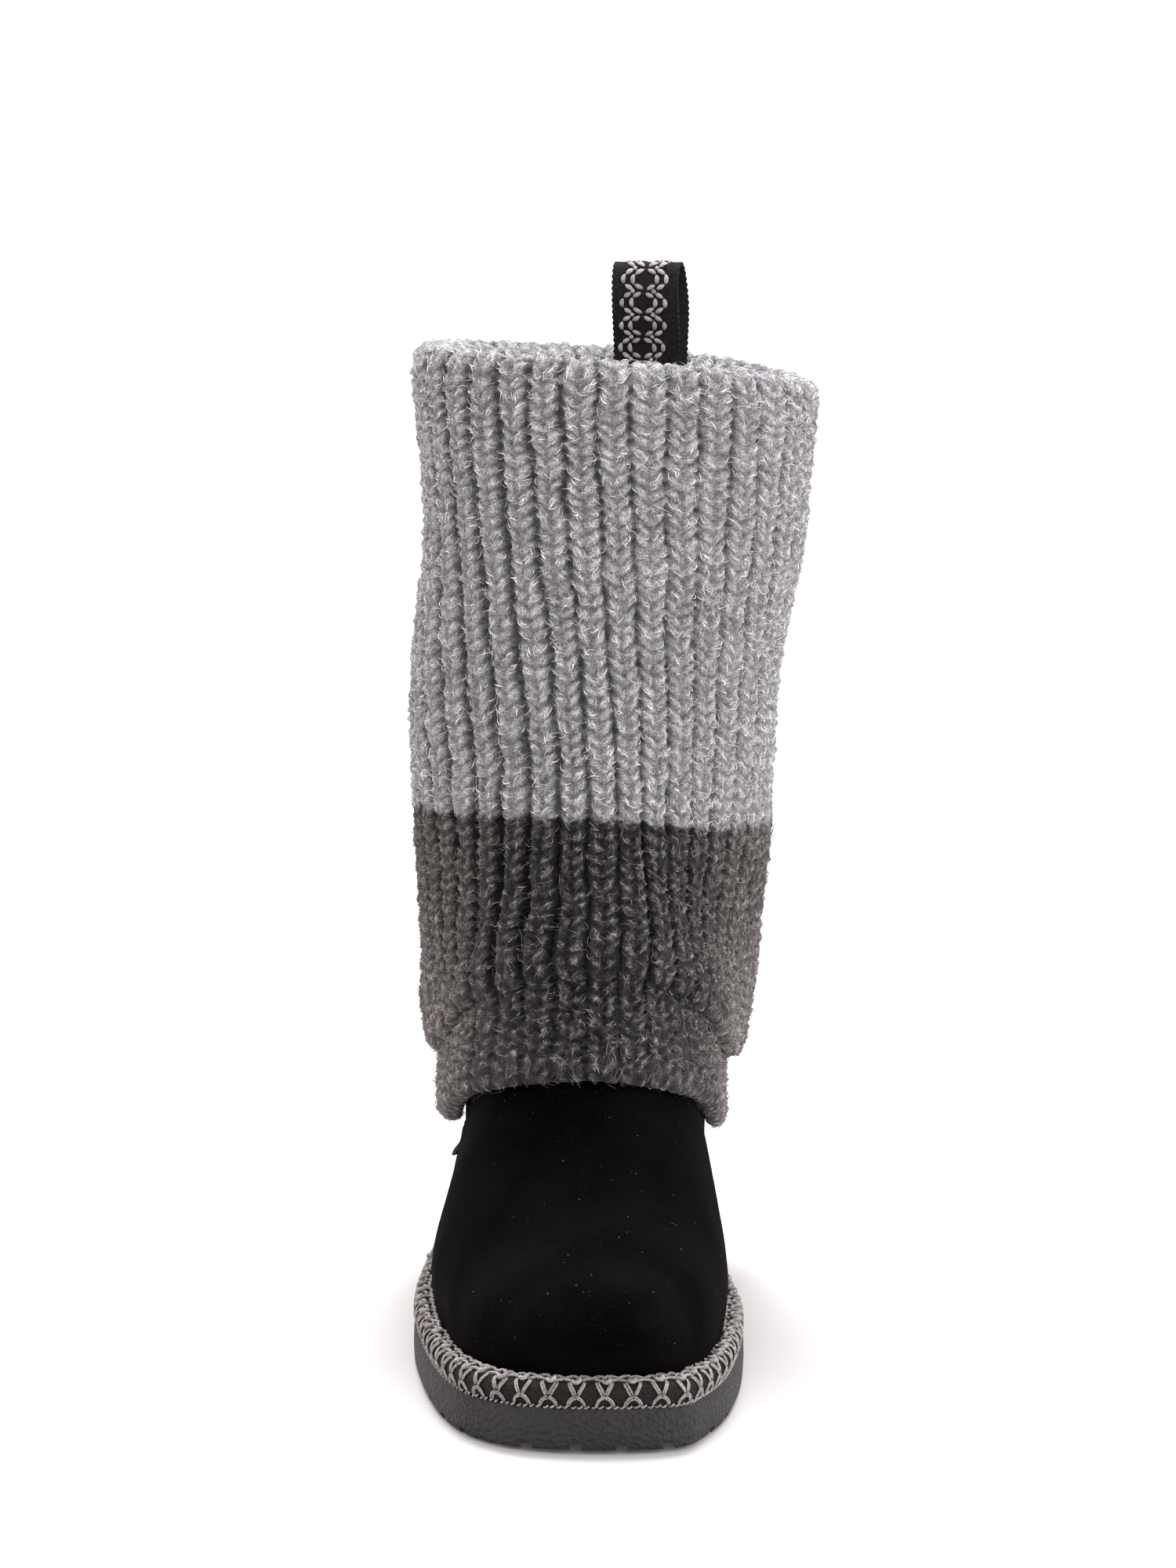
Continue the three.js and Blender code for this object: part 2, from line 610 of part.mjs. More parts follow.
add('outsole', outsole(), '#4a4646', 0.7);
add('insole', insole(), '#2a2727', 0.95);
add('upper', upper(), '#191617', 0.9);
add('trim_band', trimBand(), '#5b5654', 0.9);
add('knit_shaft', knitShaft(), '#6d6868', 1);
add('pull_loop', pullLoop(), '#23201f', 0.8);
add('side_label', sideLabel(), '#2b1d18', 0.8);

export default boot;
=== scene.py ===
# %% [markdown]
# # A suede boot with a rib-knit shaft
#
# This lesson dresses the plain solids of a right-foot boot, so that they look like the real
# thing: a black suede foot, a tall knitted shaft in two greys that rolls over its rim, a woven
# trim round the welt, a grained sole with lugs and an embroidered pull loop.
# The solids come from the packed model. They fix every size, and nothing here changes them:
# a new piece takes a solid's place, or a solid gets a better finish.

# %% Load the packed model
import math
from collections import namedtuple

import bpy
import numpy as np
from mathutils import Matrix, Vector


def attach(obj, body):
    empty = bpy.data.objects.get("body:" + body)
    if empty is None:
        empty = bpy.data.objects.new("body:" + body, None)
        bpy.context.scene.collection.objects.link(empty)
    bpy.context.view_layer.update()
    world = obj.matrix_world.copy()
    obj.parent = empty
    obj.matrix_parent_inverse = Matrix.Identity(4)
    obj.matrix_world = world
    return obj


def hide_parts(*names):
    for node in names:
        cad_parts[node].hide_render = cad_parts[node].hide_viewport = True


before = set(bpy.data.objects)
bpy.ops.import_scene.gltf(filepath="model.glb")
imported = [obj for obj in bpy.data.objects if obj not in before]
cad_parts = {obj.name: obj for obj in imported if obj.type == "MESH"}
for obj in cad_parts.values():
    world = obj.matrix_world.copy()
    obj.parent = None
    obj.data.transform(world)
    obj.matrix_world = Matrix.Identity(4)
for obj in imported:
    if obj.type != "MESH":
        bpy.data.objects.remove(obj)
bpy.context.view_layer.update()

MM = 0.001

# %% [markdown]
# ## Camera and light
#
# The boot is seen straight from the toe, a little from above, with a long lens that keeps the
# tall shaft from leaning. A studio would use a white sweep and big soft boxes. Here the world
# is the white room, brightest above and behind the boot and white all round the horizon. Four
# very wide suns stand in for the boxes: they light the whole floor evenly, so it stays white
# up to the contact shadow.

# %% The camera
CAMERA_PLACE = (0, -1.608, 0.418)  # m: in front of the toe, a little above the boot
TOWARDS_BOOT = math.radians(90 - 8.75)
bpy.ops.object.camera_add(location=CAMERA_PLACE, rotation=(TOWARDS_BOOT, 0, 0))
camera = bpy.context.object
camera.name = "front_camera"
camera.data.lens, camera.data.sensor_width = 111.9, 36
bpy.context.scene.camera = camera
print("camera at", tuple(round(v, 3) for v in camera.location), "lens", camera.data.lens)

# %% Adding nodes and joining them
class Nodes:
    """Short ways to add nodes to a tree; an input takes a number, a colour or another node."""

    def __init__(self, tree):
        self.tree = tree

    def node(self, kind, inputs=(), **settings):
        made = self.tree.nodes.new("ShaderNode" + kind)
        for label, value in settings.items():
            setattr(made, label, value)
        for label, value in dict(inputs).items():
            if isinstance(value, bpy.types.NodeSocket):
                self.tree.links.new(value, made.inputs[label])
            else:
                made.inputs[label].default_value = value
        return made

    def math(self, operation, first, second):
        return self.node("Math", {0: first, 1: second}, operation=operation).outputs[0]

    def noise(self, place, scale, **values):
        return self.node("TexNoise", {"Vector": place, "Scale": scale, **values}).outputs["Fac"]

    def spread(self, value, to, given=(0.0, 1.0), curve="LINEAR"):
        """A value moved from the range `given` to the range `to`."""
        ends = dict(zip(("From Min", "From Max", "To Min", "To Max"), (*given, *to)))
        return self.node("MapRange", {"Value": value, **ends},
                         interpolation_type=curve).outputs["Result"]


print("nodes:", Nodes.__doc__)

# %% The white room
UP_AND_BACK = (0.0, 0.6, 0.8)
world = bpy.data.worlds.new("white_room")
world.use_nodes = True
room = Nodes(world.node_tree)
direction = room.node("TexCoord").outputs["Generated"]
facing = room.node("VectorMath", {0: direction, 1: UP_AND_BACK}, operation="DOT_PRODUCT")
height = room.node("SeparateXYZ", {0: direction}).outputs["Z"]
overhead = room.spread(facing.outputs["Value"], (0.5, 1.35), (-0.65, 0.7), "SMOOTHSTEP")
horizon = room.spread(height, (1.05, 0.0), (0.1, 0.22))  # white where the floor ends
backdrop = room.tree.nodes["Background"]
backdrop.inputs["Color"].default_value = (1, 1, 1, 1)
room.tree.links.new(room.math("MAXIMUM", overhead, horizon), backdrop.inputs["Strength"])
bpy.context.scene.world = world
bpy.context.scene.view_settings.view_transform = "Standard"
bpy.context.scene.view_settings.look = "None"


def soft_sun(name, from_where, strength, spread, tint):
    """A distant, very wide studio light, even over the whole floor."""
    bpy.ops.object.light_add(type="SUN", location=Vector(from_where))
    light = bpy.context.object
    light.name = name
    light.data.energy = strength
    light.data.angle = math.radians(spread)
    light.data.color = tint
    light.rotation_euler = Vector(from_where).to_track_quat("Z", "Y").to_euler()
    return light


soft_sun("key_light", (0.0, 0.36, 0.95), 6.2, 24, (1, 0.99, 0.99))
soft_sun("right_light", (0.95, -0.05, 0.1), 3.6, 50, (1, 0.99, 1))
soft_sun("left_light", (-0.95, 0.12, 0.1), 2.15, 50, (1, 0.89, 0.88))
soft_sun("front_light", (0.3, -0.9, 0.3), 2.0, 70, (1, 1, 1))
print("lights:", [o.name for o in bpy.data.objects if o.type == "LIGHT"])

# %% [markdown]
# ## Modelling helpers
#
# Every operator works on what is selected, so each step first deselects everything and picks
# its piece. Each finished piece rides on the boot's one body, gets its material and hides the
# solids that it stands for.

# %% Selecting a piece and moving its points
def pick(*objects):
    """Select these objects alone; the first one becomes active."""
    if bpy.context.object and bpy.context.object.mode != "OBJECT":
        bpy.ops.object.mode_set(mode="OBJECT")
    bpy.ops.object.select_all(action="DESELECT")
    for each in objects:
        each.select_set(True)
    bpy.context.view_layer.objects.active = objects[0]


def added(name):
    """The primitive that was just added, under its own name."""
    piece = bpy.context.object
    piece.name = piece.data.name = name
    return piece


def positions(piece):
    """The piece's points as rows of x, y, z."""
    flat = np.empty(len(piece.data.vertices) * 3)
    piece.data.vertices.foreach_get("co", flat)
    return flat.reshape(-1, 3)


def put_positions(piece, points):
    piece.data.vertices.foreach_set("co", np.asarray(points, dtype=np.float32).ravel())
    piece.data.update()


def write_note(piece, name, values):
    """Keep a number at every point, which a material reads as an attribute."""
    kept = piece.data.attributes.new(name, "FLOAT", "POINT")
    kept.data.foreach_set("value", np.asarray(values, dtype=np.float32).ravel())


print("the sole's solid has", len(positions(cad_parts["outsole"])), "points")

# %% Working on a piece and finishing it
SMOOTH_ALL = math.radians(180)
SEAM_GAP = 0.02 * MM  # points nearer than this are one point


def apply_all(piece):
    """Apply every modifier, in their order."""
    pick(piece)
    for modifier in list(piece.modifiers):
        bpy.ops.object.modifier_apply(modifier=modifier.name)


def in_edit_mode(piece, *steps):
    """Run mesh operators on the whole piece."""
    pick(piece)
    bpy.ops.object.mode_set(mode="EDIT")
    for step in (select_everything, *steps):
        step()
    bpy.ops.object.mode_set(mode="OBJECT")


def select_everything():
    bpy.ops.mesh.select_all(action="SELECT")


def face_outwards():
    bpy.ops.mesh.normals_make_consistent(inside=False)


def raised(height):
    """A step that extrudes what is selected upwards."""
    return lambda: bpy.ops.mesh.extrude_region_move(
        TRANSFORM_OT_translate={"value": (0, 0, height)})


def turned_outwards(piece):
    in_edit_mode(piece, face_outwards)


def close_seams(piece):
    in_edit_mode(piece, lambda: bpy.ops.mesh.remove_doubles(threshold=SEAM_GAP), face_outwards)


def walled(thickness):
    """A step that gives a sheet a wall on its inner side."""
    def step(piece):
        wall = piece.modifiers.new("wall", "SOLIDIFY")
        wall.thickness, wall.offset = thickness * MM, -1
        apply_all(piece)
    return step


def finish(piece, look, slot, *nodes, smooth=math.radians(50)):
    """Give a piece its finish, its shading and its body, and hide the solids that it stands for."""
    pick(piece)
    bpy.ops.object.shade_smooth_by_angle(angle=smooth)
    piece.data.materials.clear()
    piece.data.materials.append(look.material)
    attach(piece, "root")
    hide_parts(*nodes)
    print(f"{piece.name}: {sum(len(face.vertices) - 2 for face in piece.data.polygons)} triangles")


# %% [markdown]
# ## The last
#
# A shoe is built round a last, and so is this one. The last is a row of flat sections from
# the toe tip to the rim, and each is an egg shape with a top, a base and two sides. The suede,
# its lining and the knit all follow it. A formula gives any point between the sections, so
# the surface can be as fine as each piece needs.

# %% The sections of foot and shaft
# top y, top z, base y, base z, lateral x, medial x, ridge x, widest share, crown fullness (mm)
FOOT_SECTIONS = [
    (-202.7, 30.0, -202.7, 30.0, 5.0, 5.0, 5.0, 0.50, 2.0),
    (-201.5, 36.0, -201.5, 24.0, -5.2, 15.2, 5.0, 0.50, 2.0),
    (-199.0, 40.8, -199.0, 18.0, -12.8, 23.3, 5.0, 0.52, 2.0),
    (-193.5, 45.4, -193.5, 7.5, -22.8, 29.0, 4.7, 0.55, 2.05),
    (-186.5, 48.6, -186.5, -2.5, -30.5, 32.8, 4.5, 0.56, 2.1),
    (-172.0, 51.4, -172.0, -8.4, -39.2, 38.4, 4.2, 0.57, 2.15),
    (-151.0, 54.4, -151.0, -9.2, -45.6, 42.8, 4.0, 0.56, 2.15),
    (-125.0, 60.0, -125.0, -9.2, -49.7, 45.2, 3.8, 0.54, 2.1),
    (-103.2, 70.8, -96.9, -9.2, -51.6, 45.2, 3.5, 0.46, 2.05),
    (-85.6, 83.4, -65.3, -9.2, -50.2, 44.1, 3.1, 0.40, 2.05),
    (-75.2, 93.4, -32.3, -9.2, -48.3, 43.0, 2.6, 0.37, 2.05),
    (-68.0, 103.5, 3.5, -9.2, -46.0, 41.4, 2.1, 0.34, 2.15),
    (-63.0, 114.0, 36.5, -7.6, -43.8, 40.3, 1.6, 0.33, 2.3),
    (-59.2, 126.0, 61.0, 3.0, -42.8, 40.2, 1.0, 0.33, 2.4),
    (-56.2, 138.6, 68.0, 27.0, -42.8, 39.9, 1.0, 0.34, 2.3),
    (-54.3, 152.0, 67.6, 52.0, -44.6, 42.0, 1.0, 0.39, 2.2),
]
LEG_SECTIONS = [
    (-52.6, 167.0, 63.0, 82.0, -46.6, 47.9, 1.3, 0.42, 2.15),
    (-51.5, 184.6, 58.5, 115.0, -49.6, 52.6, 2.1, 0.45, 2.15),
    (-51.0, 206.0, 55.0, 152.0, -52.2, 54.9, 3.1, 0.48, 2.15),
    (-50.7, 230.0, 53.0, 190.0, -52.4, 57.2, 4.2, 0.50, 2.15),
    (-50.7, 256.0, 52.0, 228.0, -49.2, 61.3, 5.8, 0.50, 2.15),
    (-50.7, 282.0, 51.4, 266.0, -49.0, 65.8, 7.3, 0.50, 2.15),
    (-50.7, 306.0, 51.0, 306.0, -51.6, 69.5, 8.4, 0.50, 2.15),
    (-50.7, 330.0, 51.0, 330.0, -52.0, 70.4, 8.4, 0.50, 2.15),
]
SECTIONS = np.array(FOOT_SECTIONS + LEG_SECTIONS)
RIM_ROW = len(SECTIONS) - 2
SHAFT = 314.0  # mm, height of the rim that the knit rolls over
BELLY = 2.1  # fullness of a section's lower half
print(len(SECTIONS), "sections, rim at", SECTIONS[RIM_ROW, 1], "mm")

# %% Any point of the last
def padded(table):
    """A table with one row more at each end, so that a curve can run through all of it."""
    return np.vstack([2 * table[0] - table[1], table, 2 * table[-1] - table[-2]])


PADDED = padded(SECTIONS)


def smooth_row(table, at):
    """A smooth curve through a table's rows, read at any place between them."""
    at = np.asarray(at, dtype=float)
    first = np.clip(np.floor(at), 0, len(table) - 4).astype(int)
    part = (at - first)[..., None]
    p, q, r, s = (table[first + k] for k in range(4))
    bend = 2 * p - 5 * q + 4 * r - s + part * (3 * (q - r) + s - p)
    return q + 0.5 * part * (r - p + part * bend)


def upright_points(rows, turns):
    """Points of the last before its rim is leaned. Turn 0 is the top, 0.25 the medial side."""
    turns = turns - np.floor(turns)
    found = np.moveaxis(smooth_row(PADDED, rows), -1, 0)
    top_y, top_z, base_y, base_z, lateral, medial, ridge, widest, crown = found
    swing, across = np.cos(2 * np.pi * turns), np.abs(np.sin(2 * np.pi * turns))
    above = swing >= 0
    rise = np.abs(swing)
    up = np.where(above, widest + (1 - widest) * rise ** (2 / crown),
                  widest - widest * rise ** (2 / BELLY))
    out = across ** (2 / np.where(above, crown, BELLY))
    side = np.where(turns <= 0.5, medial, lateral)
    return np.stack([
        ridge + (side - ridge) * out,
        base_y + (top_y - base_y) * up,
        base_z + (top_z - base_z) * up,
    ], axis=-1)


print("toe tip", upright_points(np.array([0.0]), np.array([0.0]))[0].round(1))

# %% The leaned last and its directions
def ease(share):
    share = np.clip(share, 0, 1)
    return share * share * (3 - 2 * share)


RIM_MIDDLE_X, LEAN_FROM_Z = 8, 150


def leaned(points):
    """The rim is lower on the medial side, and the upper half of the shaft follows it."""
    x, y, z = np.moveaxis(points, -1, 0)
    aside = x - RIM_MIDDLE_X
    drop = 0.06 * aside + 6e-4 * aside ** 2 + 7e-6 * aside ** 3
    share = ease((z - LEAN_FROM_Z) / (SHAFT - LEAN_FROM_Z))
    return np.stack([x, y, z - drop * share], axis=-1)


def last_surface(rows, turns):
    return leaned(upright_points(rows, turns))


def unit(ways):
    """The same directions with the length 1."""
    return ways / np.maximum(np.linalg.norm(ways, axis=-1, keepdims=True), 1e-9)


def last_normals(rows, turns, step=0.01):
    """The last's outward directions."""
    along = last_surface(rows, turns + step) - last_surface(rows, turns - step)
    up = last_surface(rows + step, turns) - last_surface(rows - step, turns)
    return unit(np.cross(along, up))


def last_points(rows, turns, off=0.0):
    """Points of the leaned last, moved outwards by `off` millimetres."""
    return last_surface(rows, turns) + last_normals(rows, turns) * np.asarray(off)[..., None]


rim = last_points(np.full(2, float(RIM_ROW)), np.array([0.25, 0.75]))
print("rim on the medial and the lateral side", rim.round(1).tolist())

# %% [markdown]
# ## The sole's plan and heights
#
# The outline of the sole is a closed curve through a few half widths, as a pattern cutter
# marks them along the foot. The sole thickens towards the heel, the toe springs up a little
# and the waist is hollow.

# %% The outline curve
TOE_Y, LENGTH = -206.0, 281.0
# y, lateral half width, medial half width (mm)
HALF_WIDTHS = [
    (-201.2, -21.5, 28.5), (-188.0, -36.0, 36.0), (-169.5, -44.0, 42.2),
    (-149.0, -49.0, 46.0), (-125.1, -52.8, 48.5), (-97.0, -55.6, 49.2),
    (-59.9, -54.6, 45.4), (-20.0, -49.3, 41.0), (14.9, -44.5, 39.5),
    (44.9, -38.0, 35.5), (64.9, -25.5, 23.5),
]
PLAN = np.array(
    [(5.0, TOE_Y)] + [(medial, y) for y, lateral, medial in HALF_WIDTHS]
    + [(-1.0, TOE_Y + LENGTH)] + [(lateral, y) for y, lateral, medial in HALF_WIDTHS[::-1]]
)


def centripetal(points, shares):
    """A closed centripetal Catmull-Rom curve through points, read at shares of its segments."""
    count = len(points)
    place = np.mod(shares, 1) * count
    k = np.floor(place).astype(int)
    part = (place - k)[:, None]
    p = [points[(k + i) % count] for i in (-1, 0, 1, 2)]
    gap = [np.linalg.norm(p[i + 1] - p[i], axis=1, keepdims=True) ** 0.5 for i in range(3)]
    slope = [(p[i + 1] - p[i]) / gap[i] - (p[i + 2] - p[i]) / (gap[i] + gap[i + 1])
             + (p[i + 2] - p[i + 1]) / gap[i + 1] for i in range(2)]
    start, end = slope[0] * gap[1], slope[1] * gap[1]
    a = 2 * (p[1] - p[2]) + start + end
    b = 3 * (p[2] - p[1]) - 2 * start - end
    return p[1] + start * part + b * part ** 2 + a * part ** 3


def outline(inset, shares):
    """The sole's outline moved inwards, from the toe over the medial side to the heel."""
    step = 5e-4
    run = unit(centripetal(PLAN, shares + step) - centripetal(PLAN, shares - step))
    return centripetal(PLAN, shares) + np.asarray(inset)[..., None] * run[:, ::-1] * (-1, 1)


SPRING_Y, SPRING_MM = -150, 1.5  # the toe springs up in front of this place


def toe_spring(y):
    return SPRING_MM * np.maximum(0, (SPRING_Y - y) / (SPRING_Y - TOE_Y)) ** 2


WAIST_Y, WAIST_LONG, WAIST_HOLLOW = -58, 41, 2.5
FOREFOOT_MM, HEEL_MORE_MM = 12.6, 7.4  # the sole's thickness, and how much the heel adds


def tread_z(y):
    waist = np.sin(np.pi * np.clip((y - WAIST_Y) / WAIST_LONG, 0, 1))
    return toe_spring(y) + WAIST_HOLLOW * waist ** 2


def sole_top_z(y):
    return FOREFOOT_MM + HEEL_MORE_MM * ease((y + 70) / 85) + toe_spring(y)


AROUND_SOLE = np.linspace(0, 1, 400, endpoint=False)
welt = outline(0.0, AROUND_SOLE)
welt_mm = np.linalg.norm(np.diff(welt, axis=0, append=welt[:1]), axis=1).sum()
print("sole", np.ptp(welt[:, 0]).round(1), "by", np.ptp(welt[:, 1]).round(1),
      "mm, edge", welt_mm.round(0), "mm long")

# %% [markdown]
# ## Places on the shaft
#
# Ribs of a knit run straight up the leg, so the knit needs places by heading round the shaft
# and by height, not by section. Both are found by halving: first the section that reaches the
# height, then the turn that faces the heading. A modest grid of such places is enough, and a
# smooth curve reads everything between them.

# %% Halving down to a heading and a height
AXIS_X = 3.0
ANKLE_ROW = 7.0
HEADINGS, LEVELS = 120, 76
LOW_Z, HIGH_Z = 46.0, 319.0


def halve(low, high, is_high, steps=22):
    low, high = np.array(low, dtype=float), np.array(high, dtype=float)
    for _ in range(steps):
        middle = (low + high) / 2
        above = is_high(middle)
        high = np.where(above, middle, high)
        low = np.where(above, low, middle)
    return (low + high) / 2


def row_at(turns, z):
    start, end = np.full(z.shape, ANKLE_ROW), np.full(z.shape, len(SECTIONS) - 1.0)
    return halve(start, end, lambda rows: upright_points(rows, turns)[..., 2] > z)


def turn_at(headings, z):
    def ahead(turns):
        place = upright_points(row_at(turns, z), turns)
        found = np.arctan2(place[..., 0] - AXIS_X, -place[..., 1]) / (2 * np.pi)
        gap = found - headings
        return gap - np.round(gap) > 0
    return halve(headings - 0.2, headings + 0.2, ahead)


grid_heading, grid_z = np.meshgrid(
    np.arange(HEADINGS) / HEADINGS, np.linspace(LOW_Z, HIGH_Z, LEVELS), indexing="ij")
grid_turn = turn_at(grid_heading, grid_z)
grid_row = row_at(grid_turn, grid_z)
shaft_grid = np.concatenate(
    [last_surface(grid_row, grid_turn), last_normals(grid_row, grid_turn)], axis=-1)
print("shaft grid", shaft_grid.shape, "front at mid height",
      shaft_grid[0, LEVELS // 2, :3].round(1))

# %% Reading the shaft anywhere
def curve_weights(part):
    """Catmull-Rom weights of the four neighbours."""
    return np.stack([
        ((2 - part) * part - 1) * part / 2, (3 * part - 5) * part * part / 2 + 1,
        ((4 - 3 * part) * part + 1) * part / 2, (part - 1) * part * part / 2,
    ])


def shaft_points(heading, z, off):
    """Points at headings and heights, moved outwards by `off` millimetres."""
    across = np.mod(heading, 1) * HEADINGS
    up = np.clip((z - LOW_Z) / (HIGH_Z - LOW_Z), 0, 1) * (LEVELS - 1)
    i, j = np.floor(across).astype(int), np.clip(np.floor(up).astype(int), 0, LEVELS - 2)
    wide, tall = curve_weights(across - i), curve_weights(up - j)
    found = 0
    for a in range(4):
        for b in range(4):
            row = np.clip(j + b - 1, 0, LEVELS - 1)
            found = found + (wide[a] * tall[b])[..., None] * shaft_grid[(i + a - 1) % HEADINGS, row]
    place, out = found[..., :3], unit(found[..., 3:])
    return place + out * np.asarray(off)[..., None]


print("front, 250 mm up", shaft_points(np.zeros(1), np.full(1, 250.0), 0.0)[0].round(1))

# %% [markdown]
# ## Seeded unevenness
#
# Hand-made and brushed things are never regular. A table of random numbers from a fixed seed,
# read smoothly, gives the same gentle unevenness on every run. Each use has a seed of its own,
# so no two patterns look alike.

# %% Smooth noise on a sheet
def soft_noise(across, up, seed, around=None):
    """Smooth values from -1 to 1. With `around`, the pattern closes after so many cells."""
    size = around or 97
    table = np.random.default_rng(seed).uniform(-1, 1, (size, 211))
    i, j = np.floor(across).astype(int), np.floor(up).astype(int)
    u, v = ease(across - i), ease(up - j)
    read = lambda a, b: table[(i + a) % size, (j + b) % 211]
    low = read(0, 0) * (1 - u) + read(1, 0) * u
    high = read(0, 1) * (1 - u) + read(1, 1) * u
    return low * (1 - v) + high * v


print("noise", soft_noise(np.array([0.5, 1.2]), np.array([0.1, 7.7]), 3).round(3))

# %% [markdown]
# ## A sheet over a formula
#
# Leather pulled over a last is a flat piece made round. So a flat grid is added, which brings
# its own UV map, and each of its points is put where the piece's formula says. Where the
# sheet meets itself, the seam is merged.

# %% Wrapping a grid
def wrapped_sheet(name, columns, rows, place, *steps, notes=()):
    """A grid whose point (u, v) goes to place(u, v), in millimetres, then worked step by step.

    place may also return a row of numbers for each of the notes.
    """
    bpy.ops.mesh.primitive_grid_add(x_subdivisions=columns, y_subdivisions=rows, size=2)
    piece = added(name)
    share = (positions(piece)[:, :2] + 1) / 2
    found = place(share[:, 0], share[:, 1])
    points, values = found if notes else (found, ())
    for note, value in zip(notes, values):
        write_note(piece, note, value)
    put_positions(piece, points * MM)
    for step in steps:
        step(piece)
    return piece


print("ready to wrap sheets")

# %% [markdown]
# ## Strands laid along paths
#
# Braid, embroidery and loose wool are all strands: short, thin and bent along a path. One
# straight strand is made from a small disc by extruding it ring by ring. An array copies it,
# and each copy is then bent along its own path. The copies stay one mesh, so a thousand
# strands are still one piece.

# %% One strand, copied and bent
def straight_strand(name, rings, sides):
    """A closed strand along z: a disc extruded by 1 from ring to ring."""
    bpy.ops.mesh.primitive_circle_add(vertices=sides, radius=1, fill_type="NGON")
    strand = added(name)
    in_edit_mode(strand, *[raised(1)] * (rings - 1), select_everything, face_outwards)
    return strand


def run_along(points):
    """How far along its path each point lies; the last axis but one runs along the path."""
    steps = np.linalg.norm(np.diff(points, axis=-2), axis=-1)
    return np.concatenate([np.zeros((*steps.shape[:-1], 1)), np.cumsum(steps, axis=-1)], axis=-1)


def lay_strands(name, paths, ups, radii, sides=5, flat=1.0, **notes):
    """Bend one strand along each path (mm); its height over `ups` may be flattened."""
    count, rings = paths.shape[:2]
    piece = straight_strand(name, rings, sides)
    local = positions(piece)
    copies = piece.modifiers.new("copies", "ARRAY")
    copies.count, copies.use_relative_offset, copies.use_constant_offset = count, False, True
    copies.constant_offset_displace = (0, 0, 0)
    apply_all(piece)
    ahead = unit(np.gradient(paths, axis=1))
    aside = unit(np.cross(ups, ahead))
    over = np.cross(ahead, aside)
    ring = local[:, 2].round().astype(int)
    radii = np.broadcast_to(radii, (count, rings))[:, ring, None]
    bent = paths[:, ring] + radii * (
        local[:, 0][:, None] * aside[:, ring] + flat * local[:, 1][:, None] * over[:, ring])
    put_positions(piece, bent.reshape(-1, 3) * MM)
    values = {"along": run_along(paths)[:, ring], "beside": local[:, 0] * radii[..., 0],
              "strand": np.arange(count)[:, None], **notes}
    for note, value in values.items():
        write_note(piece, note, np.broadcast_to(value, (count, len(ring))))
    return piece


def along_path(points, rings):
    """A path's points read smoothly at evenly spread rings."""
    table = padded(np.asarray(points, dtype=float))
    return smooth_row(table, np.linspace(0, len(points) - 1, rings))


print("a bent path:", along_path([(0, 0), (1, 2), (3, 2)], 4).round(2).tolist())

# %% [markdown]
# ## Finishes that share an effect
#
# Wool, suede, rubber and yarn all need some unevenness. Instead of building it again for each
# material, three small node groups are made once: broad soft patches, a fine grain to bump the
# surface with, and streaks that follow the yarn. A material plugs them in with its own values.

# %% Building a group
class Group(Nodes):
    """A shader node group with named sockets; an input without a number is a vector."""

    def __init__(self, name, **inputs):
        super().__init__(bpy.data.node_groups.new(name, "ShaderNodeTree"))
        for label, value in inputs.items():
            kind = "NodeSocketVector" if value is None else "NodeSocketFloat"
            socket = self.tree.interface.new_socket(label, in_out="INPUT", socket_type=kind)
            if value is not None:
                socket.default_value = value
        self.given = self.tree.nodes.new("NodeGroupInput").outputs

    def put_out(self, **outputs):
        """Join the group's outputs, which closes it."""
        for label in outputs:
            self.tree.interface.new_socket(label, in_out="OUTPUT", socket_type="NodeSocketFloat")
        end = self.tree.nodes.new("NodeGroupOutput")
        for label, value in outputs.items():
            self.tree.links.new(value, end.inputs[label])
        return self.tree


print("group:", Group.__doc__)

# %% Building a material
class Finish(Nodes):
    """A material: constants go on its Principled shader, and what varies is joined to it."""

    def __init__(self, name, **values):
        self.material = bpy.data.materials.new(name)
        self.material.use_nodes = True
        super().__init__(self.material.node_tree)
        self.shader = self.tree.nodes["Principled BSDF"]
        for label, value in values.items():
            self.shader.inputs[label.replace("_", " ")].default_value = value

    def group(self, group, **inputs):
        """A group's outputs; it reads the place on the piece, unless it follows the yarn."""
        if "Vector" in group.interface.items_tree:
            inputs["Vector"] = self.node("TexCoord").outputs["Object"]
        return self.node("Group", inputs, node_tree=group).outputs

    def patches(self, scale, low, high):
        return self.group(PATCHES, Scale=scale, From=low, To=high)["Mask"]

    def streaks(self, fineness):
        """Streaks along the strand, from the numbers that are kept at its points."""
        return self.group(STREAKS, Along=self.note("along"), Across=self.note("beside"),
                          Strand=self.note("strand"), Fineness=fineness)

    def note(self, name):
        return self.node("Attribute", attribute_name=name).outputs["Fac"]

    def blend(self, share, low, high):
        """A colour between two, by a share from 0 to 1."""
        return self.node("Mix", {0: share, 6: low, 7: high}, data_type="RGBA").outputs[2]

    def scaled(self, colour, factor):
        return self.node("VectorMath", {0: colour, 3: factor}, operation="SCALE").outputs[0]

    def paint(self, colour):
        self.tree.links.new(colour, self.shader.inputs["Base Color"])

    def bump(self, height, strength, depth):
        made = self.node("Bump", {"Height": height, "Strength": strength, "Distance": depth})
        self.tree.links.new(made.outputs["Normal"], self.shader.inputs["Normal"])


print("a finish knows:", [way for way in vars(Finish) if not way.startswith("_")])

# %% Patches, grain and streaks
patches = Group("soft_patches", Vector=None, Scale=40.0, From=0.35, To=0.65)
given = patches.given
noise = patches.noise(given["Vector"], given["Scale"], Detail=3)
PATCHES = patches.put_out(
    Mask=patches.spread(noise, (0, 1), (given["From"], given["To"]), "SMOOTHSTEP"))

